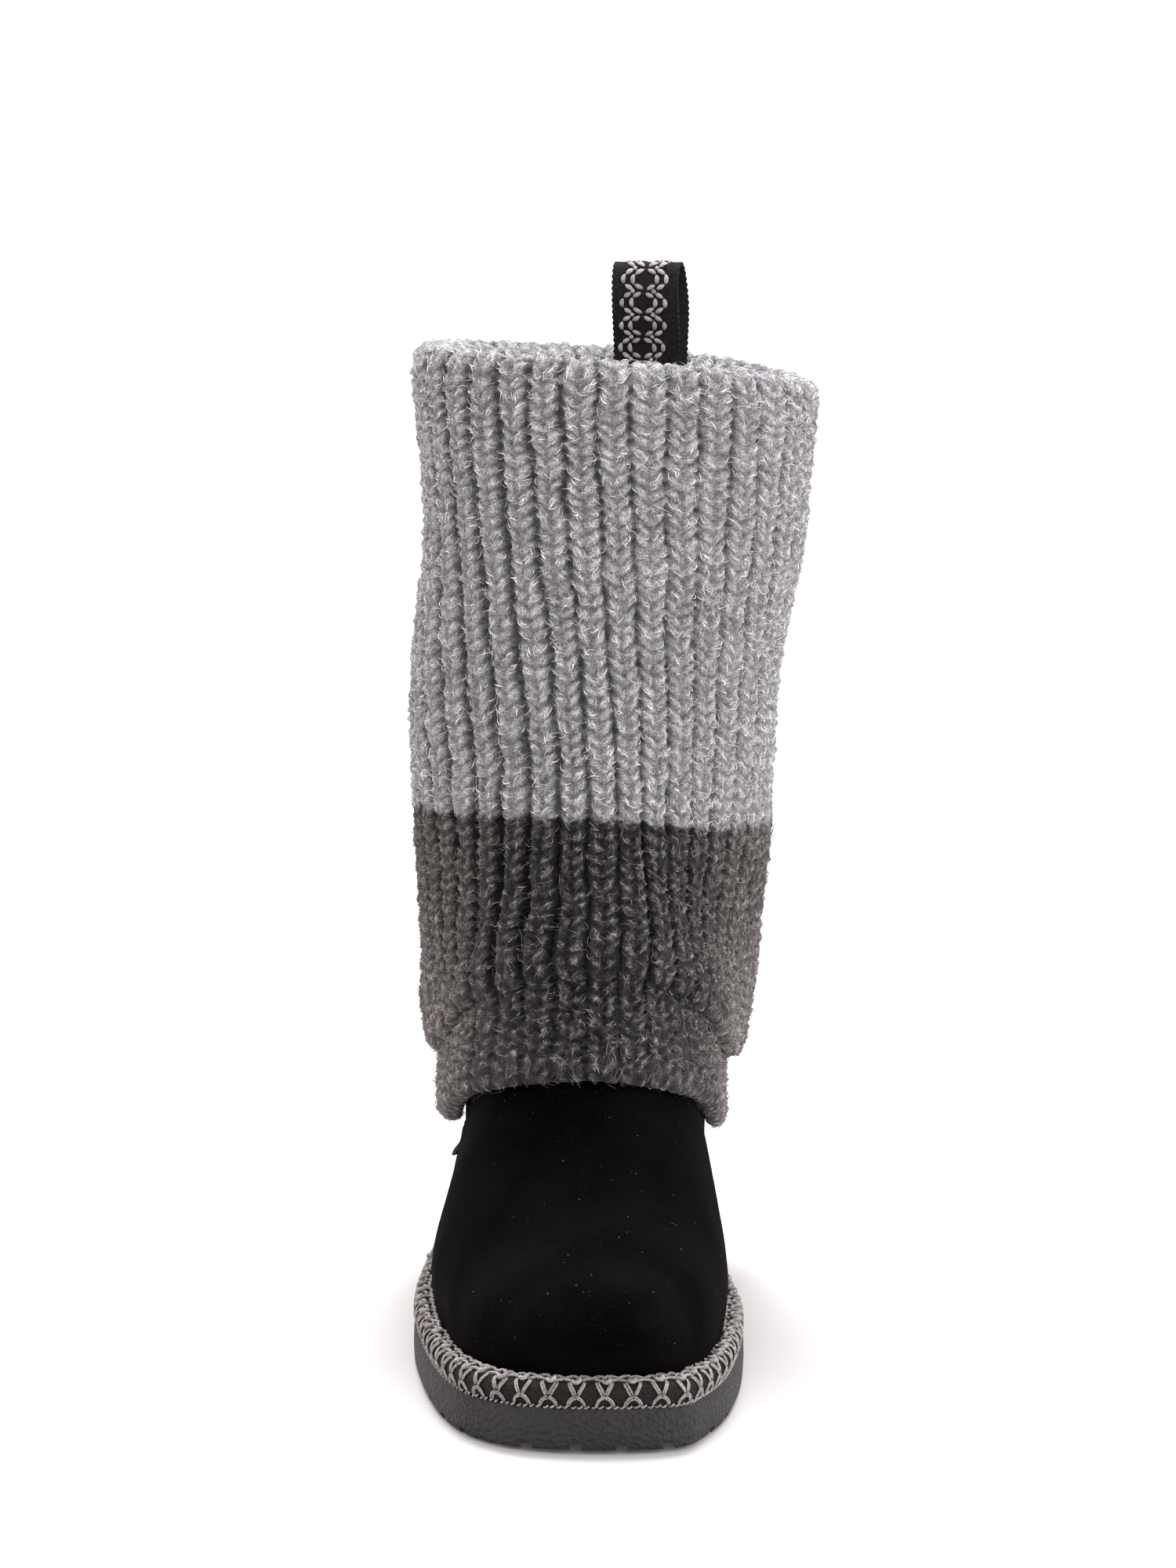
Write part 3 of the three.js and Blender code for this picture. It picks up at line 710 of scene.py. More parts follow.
grain = Group("fine_grain", Vector=None, Scale=900.0, Pebble=0.5)
given = grain.given
cells = grain.node("TexVoronoi", {"Vector": given["Vector"], "Scale": given["Scale"],
                                  "Smoothness": 0.6}, feature="SMOOTH_F1").outputs["Distance"]
noise = grain.noise(given["Vector"], given["Scale"], Detail=4)
mixed = grain.node("Mix", {"Factor": given["Pebble"], "A": noise, "B": cells})
GRAIN = grain.put_out(Height=mixed.outputs["Result"], Pits=cells)

streaks = Group("yarn_streaks", Along=0.0, Across=0.0, Strand=0.0, Fineness=3.0)
given = streaks.given
stretched = streaks.math("MULTIPLY", given["Along"], 0.34)
place = streaks.node("CombineXYZ", {0: stretched, 1: given["Across"], 2: given["Strand"]})
noise = streaks.noise(place.outputs[0], given["Fineness"], Detail=3, Distortion=0.6)
STREAKS = streaks.put_out(Mask=streaks.spread(noise, (0, 1), (0.36, 0.66)), Height=noise)
print("groups:", PATCHES.name, GRAIN.name, STREAKS.name)

# %% [markdown]
# ## The suede foot
#
# Suede is leather brushed to a short nap. Black suede swallows nearly all light, and only at
# a glancing angle do the hairs show a soft brownish edge. The form is pulled smoothly over
# the last, with shallow flex creases behind the toes where the foot bends.
# A sheet wrapped over the last's formula gives that form, and Solidify gives it a wall.

# %% Suede, with its nap
DEEP, WORN = (0.0006, 0.0005, 0.0005, 1), (0.0026, 0.0021, 0.0020, 1)
PALE = (0.0072, 0.0057, 0.0054, 1)
suede = Finish("suede_nap", Roughness=0.95, Sheen_Weight=0.01, Sheen_Roughness=0.12,
               Sheen_Tint=(0.95, 0.82, 0.8, 1), Specular_IOR_Level=0.015)
brushed = suede.blend(suede.patches(26.0, 0.3, 0.72), DEEP, WORN)
rubbed = suede.blend(suede.patches(80.0, 0.42, 0.66), WORN, PALE)
suede.paint(suede.blend(suede.patches(1500.0, 0.52, 0.78), brushed, rubbed))
suede.bump(suede.group(GRAIN, Scale=1300.0, Pebble=0.2)["Height"], 0.7, 0.0008)
print("suede tones:", [round(tone[0], 4) for tone in (DEEP, WORN, PALE)])

# %% Flex creases, one by one
# middle of the crease (x, y, z), its direction, half length, half width, depth (mm)
CREASES = [
    ((3, -98, 72), (1.0, 0.10, 0.0), 30, 5.0, -0.9),
    ((3, -84, 84), (1.0, -0.06, 0.0), 26, 4.5, -0.7),
    ((3, -91, 78), (1.0, 0.02, 0.0), 28, 4.0, 0.5),
    ((-38, -92, 52), (0.25, 0.85, 0.5), 20, 5.0, -0.8),
    ((36, -90, 50), (-0.2, 0.9, 0.45), 20, 5.0, -0.8),
    ((-44, -20, 62), (0.0, 0.8, -0.35), 26, 6.0, -0.7),
    ((40, -22, 60), (0.0, 0.85, -0.3), 26, 6.0, -0.7),
]


def creased(points):
    """How far the leather lies above or below the last, in millimetres."""
    lift = np.zeros(len(points))
    for middle, way, half_length, half_width, depth in CREASES:
        way = np.array(way) / np.linalg.norm(way)
        gap = points - np.array(middle)
        along = gap @ way
        beside = np.linalg.norm(gap - along[:, None] * way, axis=1)
        lift += depth * np.exp(-(beside / half_width) ** 2 - (along / half_length) ** 4)
    return lift


print(len(CREASES), "creases, the deepest", min(crease[-1] for crease in CREASES), "mm")

# %% Pulling the suede over the last
SUEDE_ROWS = 16.0
SEAT_GAP = 0.3  # mm between the sole's top and what stands on it
FLAT_GAP = 0.35  # faces nearer to it than this lie flat on the sole


def bell(x, middle, width):
    """A smooth hump, 1 at its middle and nearly gone two widths away."""
    return np.exp(-((x - middle) / width) ** 2)


def suede_lift(bare, rows=9.0):
    """How far the suede lies off the last: creases, slackness, and a tuck at the welt.

    All of it fades out over the first rows, at the tip of the toe.
    """
    x, y, z = bare.T
    height = z - sole_top_z(y)
    slack = 0.35 * soft_noise((x + 90) / 9, (z - y + 90) / 11, 11)
    tuck = 1.9 * bell(np.maximum(height, 0), 0, 24) + 0.9 * ease(-x / 30)
    return (creased(bare) + slack - tuck * ease((height + 4) / 8)) * ease(rows / 2)


def on_sole(placed):
    """Points that would sink into the sole are kept just above it."""
    placed[:, 2] = np.maximum(placed[:, 2], sole_top_z(placed[:, 1]) + SEAT_GAP)
    return placed


def suede_place(u, v):
    rows = v * SUEDE_ROWS
    return on_sole(last_points(rows, u, off=suede_lift(last_points(rows, u), rows)))


def drop_below_welt(piece):
    """Delete the faces that lie flat on the sole, which leaves the foot open underneath."""
    points = positions(piece) / MM
    goes = points[:, 2] < sole_top_z(points[:, 1]) + FLAT_GAP
    in_edit_mode(piece, lambda: bpy.ops.mesh.select_mode(type="FACE"),
                 lambda: bpy.ops.mesh.select_all(action="DESELECT"))
    for face in piece.data.polygons:
        face.select = all(goes[i] for i in face.vertices)
    bpy.ops.object.mode_set(mode="EDIT")
    bpy.ops.mesh.delete(type="FACE")
    bpy.ops.mesh.select_mode(type="VERT")
    bpy.ops.object.mode_set(mode="OBJECT")


suede_foot = wrapped_sheet("suede_foot", 150, 130, suede_place,
                           close_seams, drop_below_welt, walled(1.4))
finish(suede_foot, suede, "suede", "upper")

# %% A little lint
LINT_RINGS = 6


def suede_fluff(name, count, seed, long, thick, rows_from, rows_to, reach):
    """Loose hairs lying on the suede, curled at random."""
    random = np.random.default_rng(seed)
    rows, turns = random.uniform(rows_from, rows_to, count), random.normal(0, reach, count)
    middle = last_points(rows, turns)
    out = last_normals(rows, turns)
    way = random.normal(0, 1, (count, 3))
    way = unit(way - np.sum(way * out, axis=1, keepdims=True) * out)
    part = np.linspace(-0.5, 0.5, LINT_RINGS)[None, :, None]
    length = (long * random.uniform(0.3, 1.4, count))[:, None, None]
    curl = (random.uniform(-1, 1, count))[:, None, None]
    wave = length * curl * (0.35 * (1 - 4 * part ** 2) + 0.22 * np.sin(7 * part))
    points = middle[:, None] + way[:, None] * length * part + np.cross(out, way)[:, None] * wave
    off = np.repeat(suede_lift(middle), LINT_RINGS).reshape(count, LINT_RINGS, 1) + 0.3
    sunk = 0.5 * (points - middle[:, None]) ** 2 @ np.ones(3) / 60
    points = points + out[:, None] * (off - sunk[..., None])
    radii = thick * np.array([0.5, 1, 1, 1, 1, 0.5])
    return lay_strands(name, points, np.repeat(out[:, None], LINT_RINGS, axis=1), radii, sides=3,
                       tone=random.uniform(0, 1, (count, 1)))


lint = Finish("lint", Roughness=0.8)
lint.paint(lint.blend(lint.note("tone"), (0.012, 0.011, 0.011, 1), (0.13, 0.12, 0.115, 1)))
for fluff in (suede_fluff("lint_specks", 110, 13, 0.8, 0.07, 2.5, 13.5, 0.11),
              suede_fluff("lint_hairs", 34, 14, 4.5, 0.045, 10.5, 14.5, 0.12)):
    finish(fluff, lint, "suede", "upper", smooth=SMOOTH_ALL)

# %% [markdown]
# ## The lining
#
# Inside, a black textile lines the boot from the toe to under the rolled rim. It is the same
# sheet again, further in, and it can be seen only from above, so it needs few faces.

# %% Lining and footbed
fleece = Finish("black_fleece", Roughness=1.0, Sheen_Weight=0.02, Sheen_Roughness=0.6)
clumps = fleece.patches(260.0, 0.3, 0.7)
fleece.paint(fleece.blend(clumps, (0.006, 0.005, 0.005, 1), (0.022, 0.020, 0.020, 1)))
fleece.bump(clumps, 0.6, 0.0012)


def lining_place(u, v):
    rows = v * (RIM_ROW - 0.05)
    lift = np.minimum(suede_lift(last_points(rows, u), rows), 0)
    return on_sole(last_points(rows, u, off=lift - 1.7))


collar_lining = wrapped_sheet("collar_lining", 72, 84, lining_place,
                              close_seams, drop_below_welt, walled(1.3))
finish(collar_lining, fleece, "suede", "upper")

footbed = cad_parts["insole"]
for material_slot in footbed.material_slots:
    material_slot.material = fleece.material
print("footbed keeps its solid and gets", fleece.material.name)

# %% [markdown]
# ## The sole
#
# The sole is one moulded slab of foamed rubber with a fine leather-like grain, and lugs that
# notch its lower edge. A disc is laid on the outline, extruded upwards in a few levels, cut
# into strips so that it can follow the waist and the toe spring, and then the grooves are cut
# out with wedge bars. A small bevel takes the sharpness off every edge, as a mould does.

# %% A disc on the outline, extruded
SOLE_SIDES = 200
LEVEL_MM = [0.0, 1.4, 5.0, 17.0, 20.0]
LEVEL_INSET = [0.9, 0.2, 0.0, 0.1, 1.2]
shares = np.arange(SOLE_SIDES) / SOLE_SIDES
insets = np.array([outline(np.full(SOLE_SIDES, inset), shares) for inset in LEVEL_INSET])
edge = insets[2]

bpy.ops.mesh.primitive_circle_add(vertices=SOLE_SIDES, fill_type="NGON")
sole = added("sole_rubber")
put_positions(sole, np.column_stack([edge, np.zeros(SOLE_SIDES)]) * MM)
in_edit_mode(sole, *[raised((high - low) * MM) for low, high in zip(LEVEL_MM, LEVEL_MM[1:])],
             select_everything, face_outwards)

points = positions(sole) / MM
nearest = np.argmin(np.linalg.norm(points[:, None, :2] - edge[None], axis=2), axis=1)
level = np.argmin(np.abs(points[:, 2:3] - np.array(LEVEL_MM)), axis=1)
points[:, :2] = insets[level, nearest]
put_positions(sole, points * MM)
print("sole blank:", len(sole.data.vertices), "points,", len(LEVEL_MM), "levels")

# %% Bending the blank to the tread
STRIP_MM = 6.0


def cut_across(y):
    return lambda: (select_everything(),
                    bpy.ops.mesh.bisect(plane_co=(0, y * MM, 0), plane_no=(0, 1, 0)))


in_edit_mode(sole, *[cut_across(y) for y in np.arange(-200, 72, STRIP_MM)])
points = positions(sole) / MM
bottom, top = tread_z(points[:, 1]), sole_top_z(points[:, 1])
low_half = points[:, 2] <= 9
points[:, 2] = np.where(low_half, bottom + points[:, 2], top - (LEVEL_MM[-1] - points[:, 2]))
put_positions(sole, points * MM)
print("heel", top.max().round(1), "mm thick, waist hollow", bottom.max().round(1), "mm")

# %% Cutting the grooves
GROOVE_WIDE, GROOVE_DEEP = 3.6, 2.1
CROSS_GROOVES_Y = [-184, -168, -149, -128, -106, -84, -62, -17, 15, 36]
TOE_GROOVES_X = [-18.5, -3.8, 10, 24]
HEEL_GROOVES_X = [-22, -8, 7, 21]


def wedge_bar(x0, x1, y0, y1, z_top, narrow_along):
    """A bar whose top is narrower than its foot, so that a lug gets sloping sides."""
    middle = ((x0 + x1) / 2 * MM, (y0 + y1) / 2 * MM, (z_top - 9) / 2 * MM)
    bpy.ops.mesh.primitive_cube_add(size=1, location=middle)
    bar = bpy.context.object
    bar.scale = ((x1 - x0) * MM, (y1 - y0) * MM, (z_top + 9) * MM)
    bpy.ops.object.transform_apply(location=True, rotation=False, scale=True)
    points = positions(bar)
    upper = points[:, 2] > middle[2]
    points[upper, narrow_along] += 0.22 * (middle[narrow_along] - points[upper, narrow_along])
    put_positions(bar, points)
    return bar


half = GROOVE_WIDE / 2 + 0.25
bars = [wedge_bar(-90, 90, y - half, y + half, float(tread_z(y)) + GROOVE_DEEP, 1)
        for y in CROSS_GROOVES_Y]
bars += [wedge_bar(x - half, x + half, TOE_Y - 9, TOE_Y + 11,
                   float(tread_z(TOE_Y + 6)) + GROOVE_DEEP, 0) for x in TOE_GROOVES_X]
bars += [wedge_bar(x - half, x + half, 60, 99, GROOVE_DEEP, 0) for x in HEEL_GROOVES_X]
for bar in bars:
    cut = sole.modifiers.new("groove", "BOOLEAN")
    cut.operation, cut.object, cut.solver = "DIFFERENCE", bar, "EXACT"
apply_all(sole)
pick(*bars)
bpy.ops.object.delete()
pick(sole)
rounding = sole.modifiers.new("moulded_edges", "BEVEL")
rounding.width, rounding.segments = 0.45 * MM, 2
rounding.limit_method, rounding.angle_limit = "ANGLE", math.radians(38)
apply_all(sole)
print("lugs cut:", len(CROSS_GROOVES_Y) + len(TOE_GROOVES_X) + len(HEEL_GROOVES_X), "grooves")

# %% Grained rubber
rubber = Finish("grained_rubber", Roughness=0.45, Specular_IOR_Level=0.03)
rubber.paint(rubber.blend(rubber.patches(30.0, 0.3, 0.75), (0.028, 0.0263, 0.027, 1),
                          (0.034, 0.0315, 0.0325, 1)))
rubber.bump(rubber.group(GRAIN, Scale=700.0, Pebble=0.75)["Height"], 1.0, 0.0015)
finish(sole, rubber, "sole_rubber", "outsole", smooth=math.radians(30))

# %% [markdown]
# ## The trim over the welt
#
# A woven braid hides the seam between sole and suede. Its base is a soft black band that
# stands on the sole's top edge and curls over against the foot, so a sheet follows the
# outline, shaped across by a short profile.

# %% The black band
# inset from the sole's edge and height above its top (mm)
BAND_PROFILE = np.array([
    (2.6, 0.35), (1.5, 0.8), (0.95, 2.4), (0.8, 4.3), (1.25, 5.9), (2.3, 7.1), (4.0, 7.7),
    (6.2, 7.8), (8.6, 7.6), (11.5, 7.1),
])
BAND_TABLE = padded(BAND_PROFILE)


def curve_off(table, rows, off, step):
    """The two measures of a flat curve at these rows, moved off to its left side."""
    first, second = np.moveaxis(smooth_row(table, rows), -1, 0)
    ahead = unit(smooth_row(table, rows + step) - smooth_row(table, rows - step))
    return first - ahead[:, 1] * off, second + ahead[:, 0] * off


def band_points(share, rows, off=0.0):
    """A point on the band: a share round the boot, a row across, and a height off it."""
    inset, up = curve_off(BAND_TABLE, rows, off, 0.02)
    edge_y = outline(np.zeros(len(share)), share)[:, 1]
    return np.column_stack([outline(inset, share), sole_top_z(edge_y) + up])


def band_place(u, v):
    return band_points(u, v * (len(BAND_PROFILE) - 1))


def cloth_finish(name, dark, light, scale):
    made = Finish(name, Roughness=0.95, Specular_IOR_Level=0.1)
    threads = made.group(GRAIN, Scale=scale, Pebble=0.6)
    made.paint(made.blend(threads["Pits"], light, dark))
    made.bump(threads["Height"], 0.7, 0.0006)
    return made


black_cloth = cloth_finish("black_cloth", (0.006, 0.005, 0.005, 1), (0.020, 0.018, 0.018, 1), 1100)
trim_base = wrapped_sheet("trim_base", 300, 16, band_place, close_seams, walled(1.0))
finish(trim_base, black_cloth, "braid", "trim_band")

# %% [markdown]
# ## The braid's yarn
#
# Light yarn is worked over the black band in a chain of crosses. The upper half of each cross
# is a V of doubled threads, the lower half is a doubled arch, a small knot sits over the V,
# two slack links join one knot to the next, and a row of slanting stitches edges the sole. The
# pattern repeats every 8.6 mm, so one repeat is charted flat and laid round the welt again and
# again, never quite the same.

# %% One repeat of the braid, charted flat
# along the band, up its face, height off it (mm)
V_LEG = [(-2.4, 7.7, 0.3), (-2.0, 6.4, 0.5), (-1.15, 4.95, 0.55), (-0.45, 3.75, 0.4)]
HALF_ARCH = [(-2.55, 0.35, 0.3), (-2.15, 1.6, 0.5), (-1.2, 2.75, 0.6), (0.0, 3.15, 0.6)]
LINK = [(1.0, 7.7, 0.4), (2.6, 8.5, 0.6), (4.3, 8.9, 0.6), (6.0, 8.5, 0.6), (7.6, 7.7, 0.4)]
UPPER_LINK = [(-0.4, 9.2, 0.5), (1.4, 10.9, 0.9), (4.3, 9.9, 0.4), (7.1, 11.0, 0.9),
              (9.0, 9.2, 0.5)]
KNOT = [(-1.4, 8.6, 0.5), (-0.7, 7.4, 1.0), (0.3, 7.1, 1.2), (1.2, 7.8, 1.2), (1.0, 9.5, 0.8)]
EDGE = [(-0.9, -0.25, 0.35), (0.0, 0.15, 0.7), (0.9, 0.5, 0.35)]
REPEAT_MM = 8.6
UNITS = round(welt_mm / REPEAT_MM)
BRAID_RINGS = 7


def mirrored(path):
    return [(-a, b, h) for a, b, h in path]


def side_by_side(path, threads, spacing, curl):
    """The threads that lie next to each other along one path, slightly twisted together."""
    middle = along_path(path, BRAID_RINGS)
    ahead = unit(np.gradient(middle[:, :2], axis=0))
    turn = np.linspace(-curl, curl, BRAID_RINGS)
    for place in (np.arange(threads) - (threads - 1) / 2) * spacing:
        moved = middle.copy()
        moved[:, 0] += ahead[:, 1] * place * np.cos(turn)
        moved[:, 1] -= ahead[:, 0] * place * np.cos(turn)
        moved[:, 2] += place * np.sin(turn)
        yield moved


# path, threads, spacing, thread radius, curl
BRAID_CHART = [
    (V_LEG, 2, 0.6, 0.33, 0.35), (mirrored(V_LEG), 2, 0.6, 0.33, -0.35),
    (HALF_ARCH, 2, 0.6, 0.32, 0.2), (mirrored(HALF_ARCH), 2, 0.6, 0.32, -0.2),
    (LINK, 1, 0, 0.5, 1.9), (UPPER_LINK, 1, 0, 0.55, 0), (KNOT, 1, 0, 0.68, 1.4),
] + [([(a + x, b, h) for a, b, h in EDGE], 1, 0, 0.36, 0) for x in (-3.2, -1.05, 1.1, 3.25)]
threads = [(thread, radius) for path, count, spacing, radius, curl in BRAID_CHART
           for thread in side_by_side(path, count, spacing, curl)]
print(UNITS, "repeats of", len(threads), "threads,", round(welt_mm / UNITS, 2), "mm each")

# %% Laying the repeat round the welt
BAND_FOOT = 1.0  # mm along the profile before the part that shows
LOOSE_ABOVE, LOOSE = 6.5, 3.2  # the knots and links above this height wander more
band_rows = np.linspace(0, len(BAND_PROFILE) - 1, 400)
band_run = run_along(smooth_row(BAND_TABLE, band_rows))
welt_share = np.linspace(0, 1, 1201)
welt_run = run_along(outline(np.zeros(len(welt_share)), welt_share))


def on_band(along, up, off):
    """Chart places (mm) to points of the band, and its outward directions."""
    share = np.interp(np.mod(along, welt_run[-1]), welt_run, welt_share)
    rows = np.interp(up + BAND_FOOT, band_run, band_rows)
    place = band_points(share, rows, off)
    return place, place - band_points(share, rows, off - 0.5)


chart = np.array([thread for thread, radius in threads])
random = np.random.default_rng(51)
units = np.arange(UNITS)[:, None, None] * welt_run[-1] / UNITS
jitter = lambda much: random.uniform(-much, much, (UNITS, len(threads)))[..., None]
loose = np.array([LOOSE if path[:, 1].min() > LOOSE_ABOVE else 1 for path in chart])[:, None]
along = units + chart[None, ..., 0] + jitter(0.18) * loose
stretch = 1 + 0.03 * random.uniform(-1, 1, (UNITS, 1, 1))
up = chart[None, ..., 1] * stretch + jitter(0.13) * loose
off = chart[None, ..., 2] + jitter(0.07) * loose
place, outward = on_band(along.ravel(), up.ravel(), off.ravel())
taper = np.array([0.75, 1, 1.05, 1.05, 1.05, 1, 0.75])
radii = np.tile([radius for thread, radius in threads], UNITS)[:, None] * taper
trim_yarns = lay_strands(
    "trim_yarns", place.reshape(-1, BRAID_RINGS, 3), outward.reshape(-1, BRAID_RINGS, 3), radii,
    sides=5, tone=random.uniform(0, 1, (UNITS * len(threads), 1)))


def yarn_finish(name, dark, light):
    """Smooth spun thread: fine streaks along each strand, and no two quite the same."""
    made = Finish(name, Roughness=0.7, Specular_IOR_Level=0.25)
    streaks = made.streaks(5.0)
    thread = made.blend(streaks["Mask"], dark, light)
    made.paint(made.scaled(thread, made.spread(made.note("tone"), (0.82, 1.12))))
    made.bump(streaks["Height"], 0.5, 0.0003)
    return made


pale_yarn = yarn_finish("pale_yarn", (0.075, 0.066, 0.063, 1), (0.37, 0.34, 0.33, 1))
finish(trim_yarns, pale_yarn, "braid", "trim_band", smooth=SMOOTH_ALL)

# %% [markdown]
# ## The knit shaft
#
# The shaft is a chunky rib knit, brushed until it is soft: 34 ribs round the leg, each a
# column of V-shaped stitches, with narrow purl valleys between them. Two greys of yarn meet
# in a zigzag above the ankle. The tube slouches in a fold over the foot and rolls inwards at
# the rim. Real yarn for every stitch would need millions of faces, and brushing hides it
# anyway. So one dense sheet carries the form: a path from hem to rim gives the slouch, and
# a relief gives ribs and stitches. Loose fibres are added afterwards.

# %% The path from the hem over the rim
RIM_Z = SECTIONS[RIM_ROW, 1]
HEM_FRONT, HEM_BACK = 87.0, 54.0
# share of the hem's height, height, off the last's face, height of the ribs (mm)
KNIT_PATH = np.array([
    (1.00, 2.0, 0.2, 0.0),
    (1.00, -0.4, 1.3, 0.3),
    (1.00, -0.9, 3.2, 1.0),
    (1.00, 1.2, 4.9, 1.7),
    (1.02, 5.0, 5.0, 2.1),
    (1.10, 9.5, 4.9, 2.3),
    (1.18, 14.0, 4.9, 2.1),
    (1.205, 15.6, 9.3, 2.7),
    (1.10, 33.0, 9.8, 3.0),
    (0.88, 70.0, 7.4, 3.0),
    (0.60, 125.0, 5.0, 3.0),
    (0.40, 0.600 * RIM_Z, 3.9, 3.0),
    (0.20, 0.800 * RIM_Z, 3.9, 3.0),
    (0.05, 0.950 * RIM_Z, 3.9, 3.0),
    (0.00, SHAFT - 6.0, 3.4, 3.0),
    (0.00, SHAFT - 2.2, 1.9, 2.7),
    (0.00, SHAFT - 0.8, -1.6, 2.0),
    (0.00, SHAFT - 2.2, -5.2, -0.9),
    (0.00, SHAFT - 6.5, -6.6, -1.2),
    (0.00, SHAFT - 13.6, -6.0, -0.9),
])
PATH_TABLE = padded(KNIT_PATH)
TOP_OF_RIM = 16  # the path's row on the rim
PATH_END = len(KNIT_PATH) - 1


def hem_z(heading):
    arch = 0.5 + 0.5 * np.cos(2 * np.pi * (heading + 0.022))
    return HEM_BACK + (HEM_FRONT - HEM_BACK) * arch ** 3.8


path_rows = np.linspace(0, PATH_END, 900)
hold, level, off, rib = smooth_row(PATH_TABLE, path_rows).T
path_run = run_along(np.column_stack([HEM_FRONT * hold + level, off]))
rim_run = np.interp(TOP_OF_RIM, path_rows, path_run)


def run_of(rows):
    """How far up from the hem these rows of the path are, at the front (mm)."""
    return np.interp(rows, path_rows, path_run)


def rows_at(run):
    return np.interp(run, path_run, path_rows)


print("knit path at the front:", path_run[-1].round(0), "mm, rim after", rim_run.round(0))

# %% Ribs spread evenly round each row of the path
RIBS = 34
HEADING_STEPS = 720
fine_heading = np.linspace(0, 1, HEADING_STEPS + 1)


def ring_round(z, off):
    return shaft_points(fine_heading, z, np.full(HEADING_STEPS + 1, off))


even_table = []
for hold, level, off, rib in KNIT_PATH:
    run = run_along(ring_round(hem_z(fine_heading) * hold + level, off))
    even_table.append(np.interp(fine_heading, run / run[-1], fine_heading) - fine_heading)
even_table = np.array(even_table)
leg_ring = ring_round(np.full(HEADING_STEPS + 1, SHAFT * 0.6), 3.0)
RIB_MM = np.linalg.norm(np.diff(leg_ring, axis=0), axis=1).sum() / RIBS


def even_heading(share, rows):
    """The heading of a share of the way round, at a row of the path."""
    rows = np.clip(rows, 0, PATH_END - 1e-6)
    row, part = np.floor(rows).astype(int), rows - np.floor(rows)
    place = np.mod(share, 1) * HEADING_STEPS
    step = np.clip(np.floor(place).astype(int), 0, HEADING_STEPS - 1)
    rest = place - np.floor(place)
    read = lambda r: even_table[r, step] * (1 - rest) + even_table[r, step + 1] * rest
    return share + read(row) * (1 - part) + read(row + 1) * part


print("rib", RIB_MM.round(1), "mm wide, rim", run[-1].round(0), "mm round inside")

# %% Ribs and rows of stitches
STITCH_ROWS = 37  # from the rim down to the change of colour
STITCH_MM = 4.05


def change_z(heading):
    """Where the light yarn ends: highest at the front, lower on the medial side."""
    turn = 2 * np.pi * heading
    return 163.7 + 4.7 * np.cos(turn) - 2.9 * np.sin(turn)


def from_back(share):
    """Shares counted from the lateral back, so that the front isn't cut in two."""
    return np.mod(share + 0.35, 1)


def drifted(share, z):
    """Ribs on the front's lateral half lean towards the middle on their way down."""
    lean = 0.028 * bell(from_back(share), 0.24, 0.15) - 0.006 * bell(from_back(share), 0.48, 0.08)
    return share + ease((300 - z) / 130) * lean


def knit_base(share, rows):
    """The knit's valley surface and the height of its ribs."""
    hold, level, off, rib = np.moveaxis(smooth_row(PATH_TABLE, rows), -1, 0)
    heading = even_heading(share, rows)
    z = hem_z(heading) * hold + level
    slack = np.clip((off - 3.9) / 5.6, 0, 1)
    lateral, medial = (bell(np.mod(heading, 1), side, 0.12) for side in (0.75, 0.25))
    waist = bell(z, 253, 24)
    back = (0.5 - 0.5 * np.cos(2 * np.pi * heading)) ** 3
    z = z - (2.0 * back + 1.5 * medial) * ease((rows - 13) / 3)
    off = off + slack * 1.1 * soft_noise(share * 9, z / 26, 21, around=9)
    fold = np.exp(-((rows - 5) / 2) ** 4)
    off = off + 2.0 * lateral * fold + (1.9 * medial - 0.9 * lateral) * waist
    z = z + slack * hold * 1.6 * soft_noise(share * 7, z / 60, 22, around=7)
    return shaft_points(even_heading(drifted(share, z), rows), z, off), rib


def rows_below_rim(share, rows):
    """Stitch rows counted down from the rim; the colour changes after STITCH_ROWS."""
    heading = even_heading(share, rows)
    hold = smooth_row(PATH_TABLE, rows)[..., 0]
    down = rim_run - run_of(rows) + (HEM_FRONT - hem_z(heading)) * hold
    return down / (SHAFT + 2.6 - change_z(heading)) * STITCH_ROWS


print("stitch row", STITCH_MM, "mm tall,", STITCH_ROWS, "rows of light yarn")

# %% The relief of one stitch
def stitch_random(rib, stitch, side, seed):
    """The same random number from -1 to 1 for all points of one stitch leg."""
    table = np.random.default_rng(seed).uniform(-1, 1, 4096)
    return table[(rib * 613 + stitch * 89 + side * 1511).astype(int) % 4096]


LEG_ASIDE, LEG_HALF_LONG, LEG_HALF_WIDE = 2.6, 3.2, 1.35  # mm, of one stitch's leg
LEG_SLANT = math.radians(43)
Relief = namedtuple("Relief", "counted rib side stitch leg along beside height")


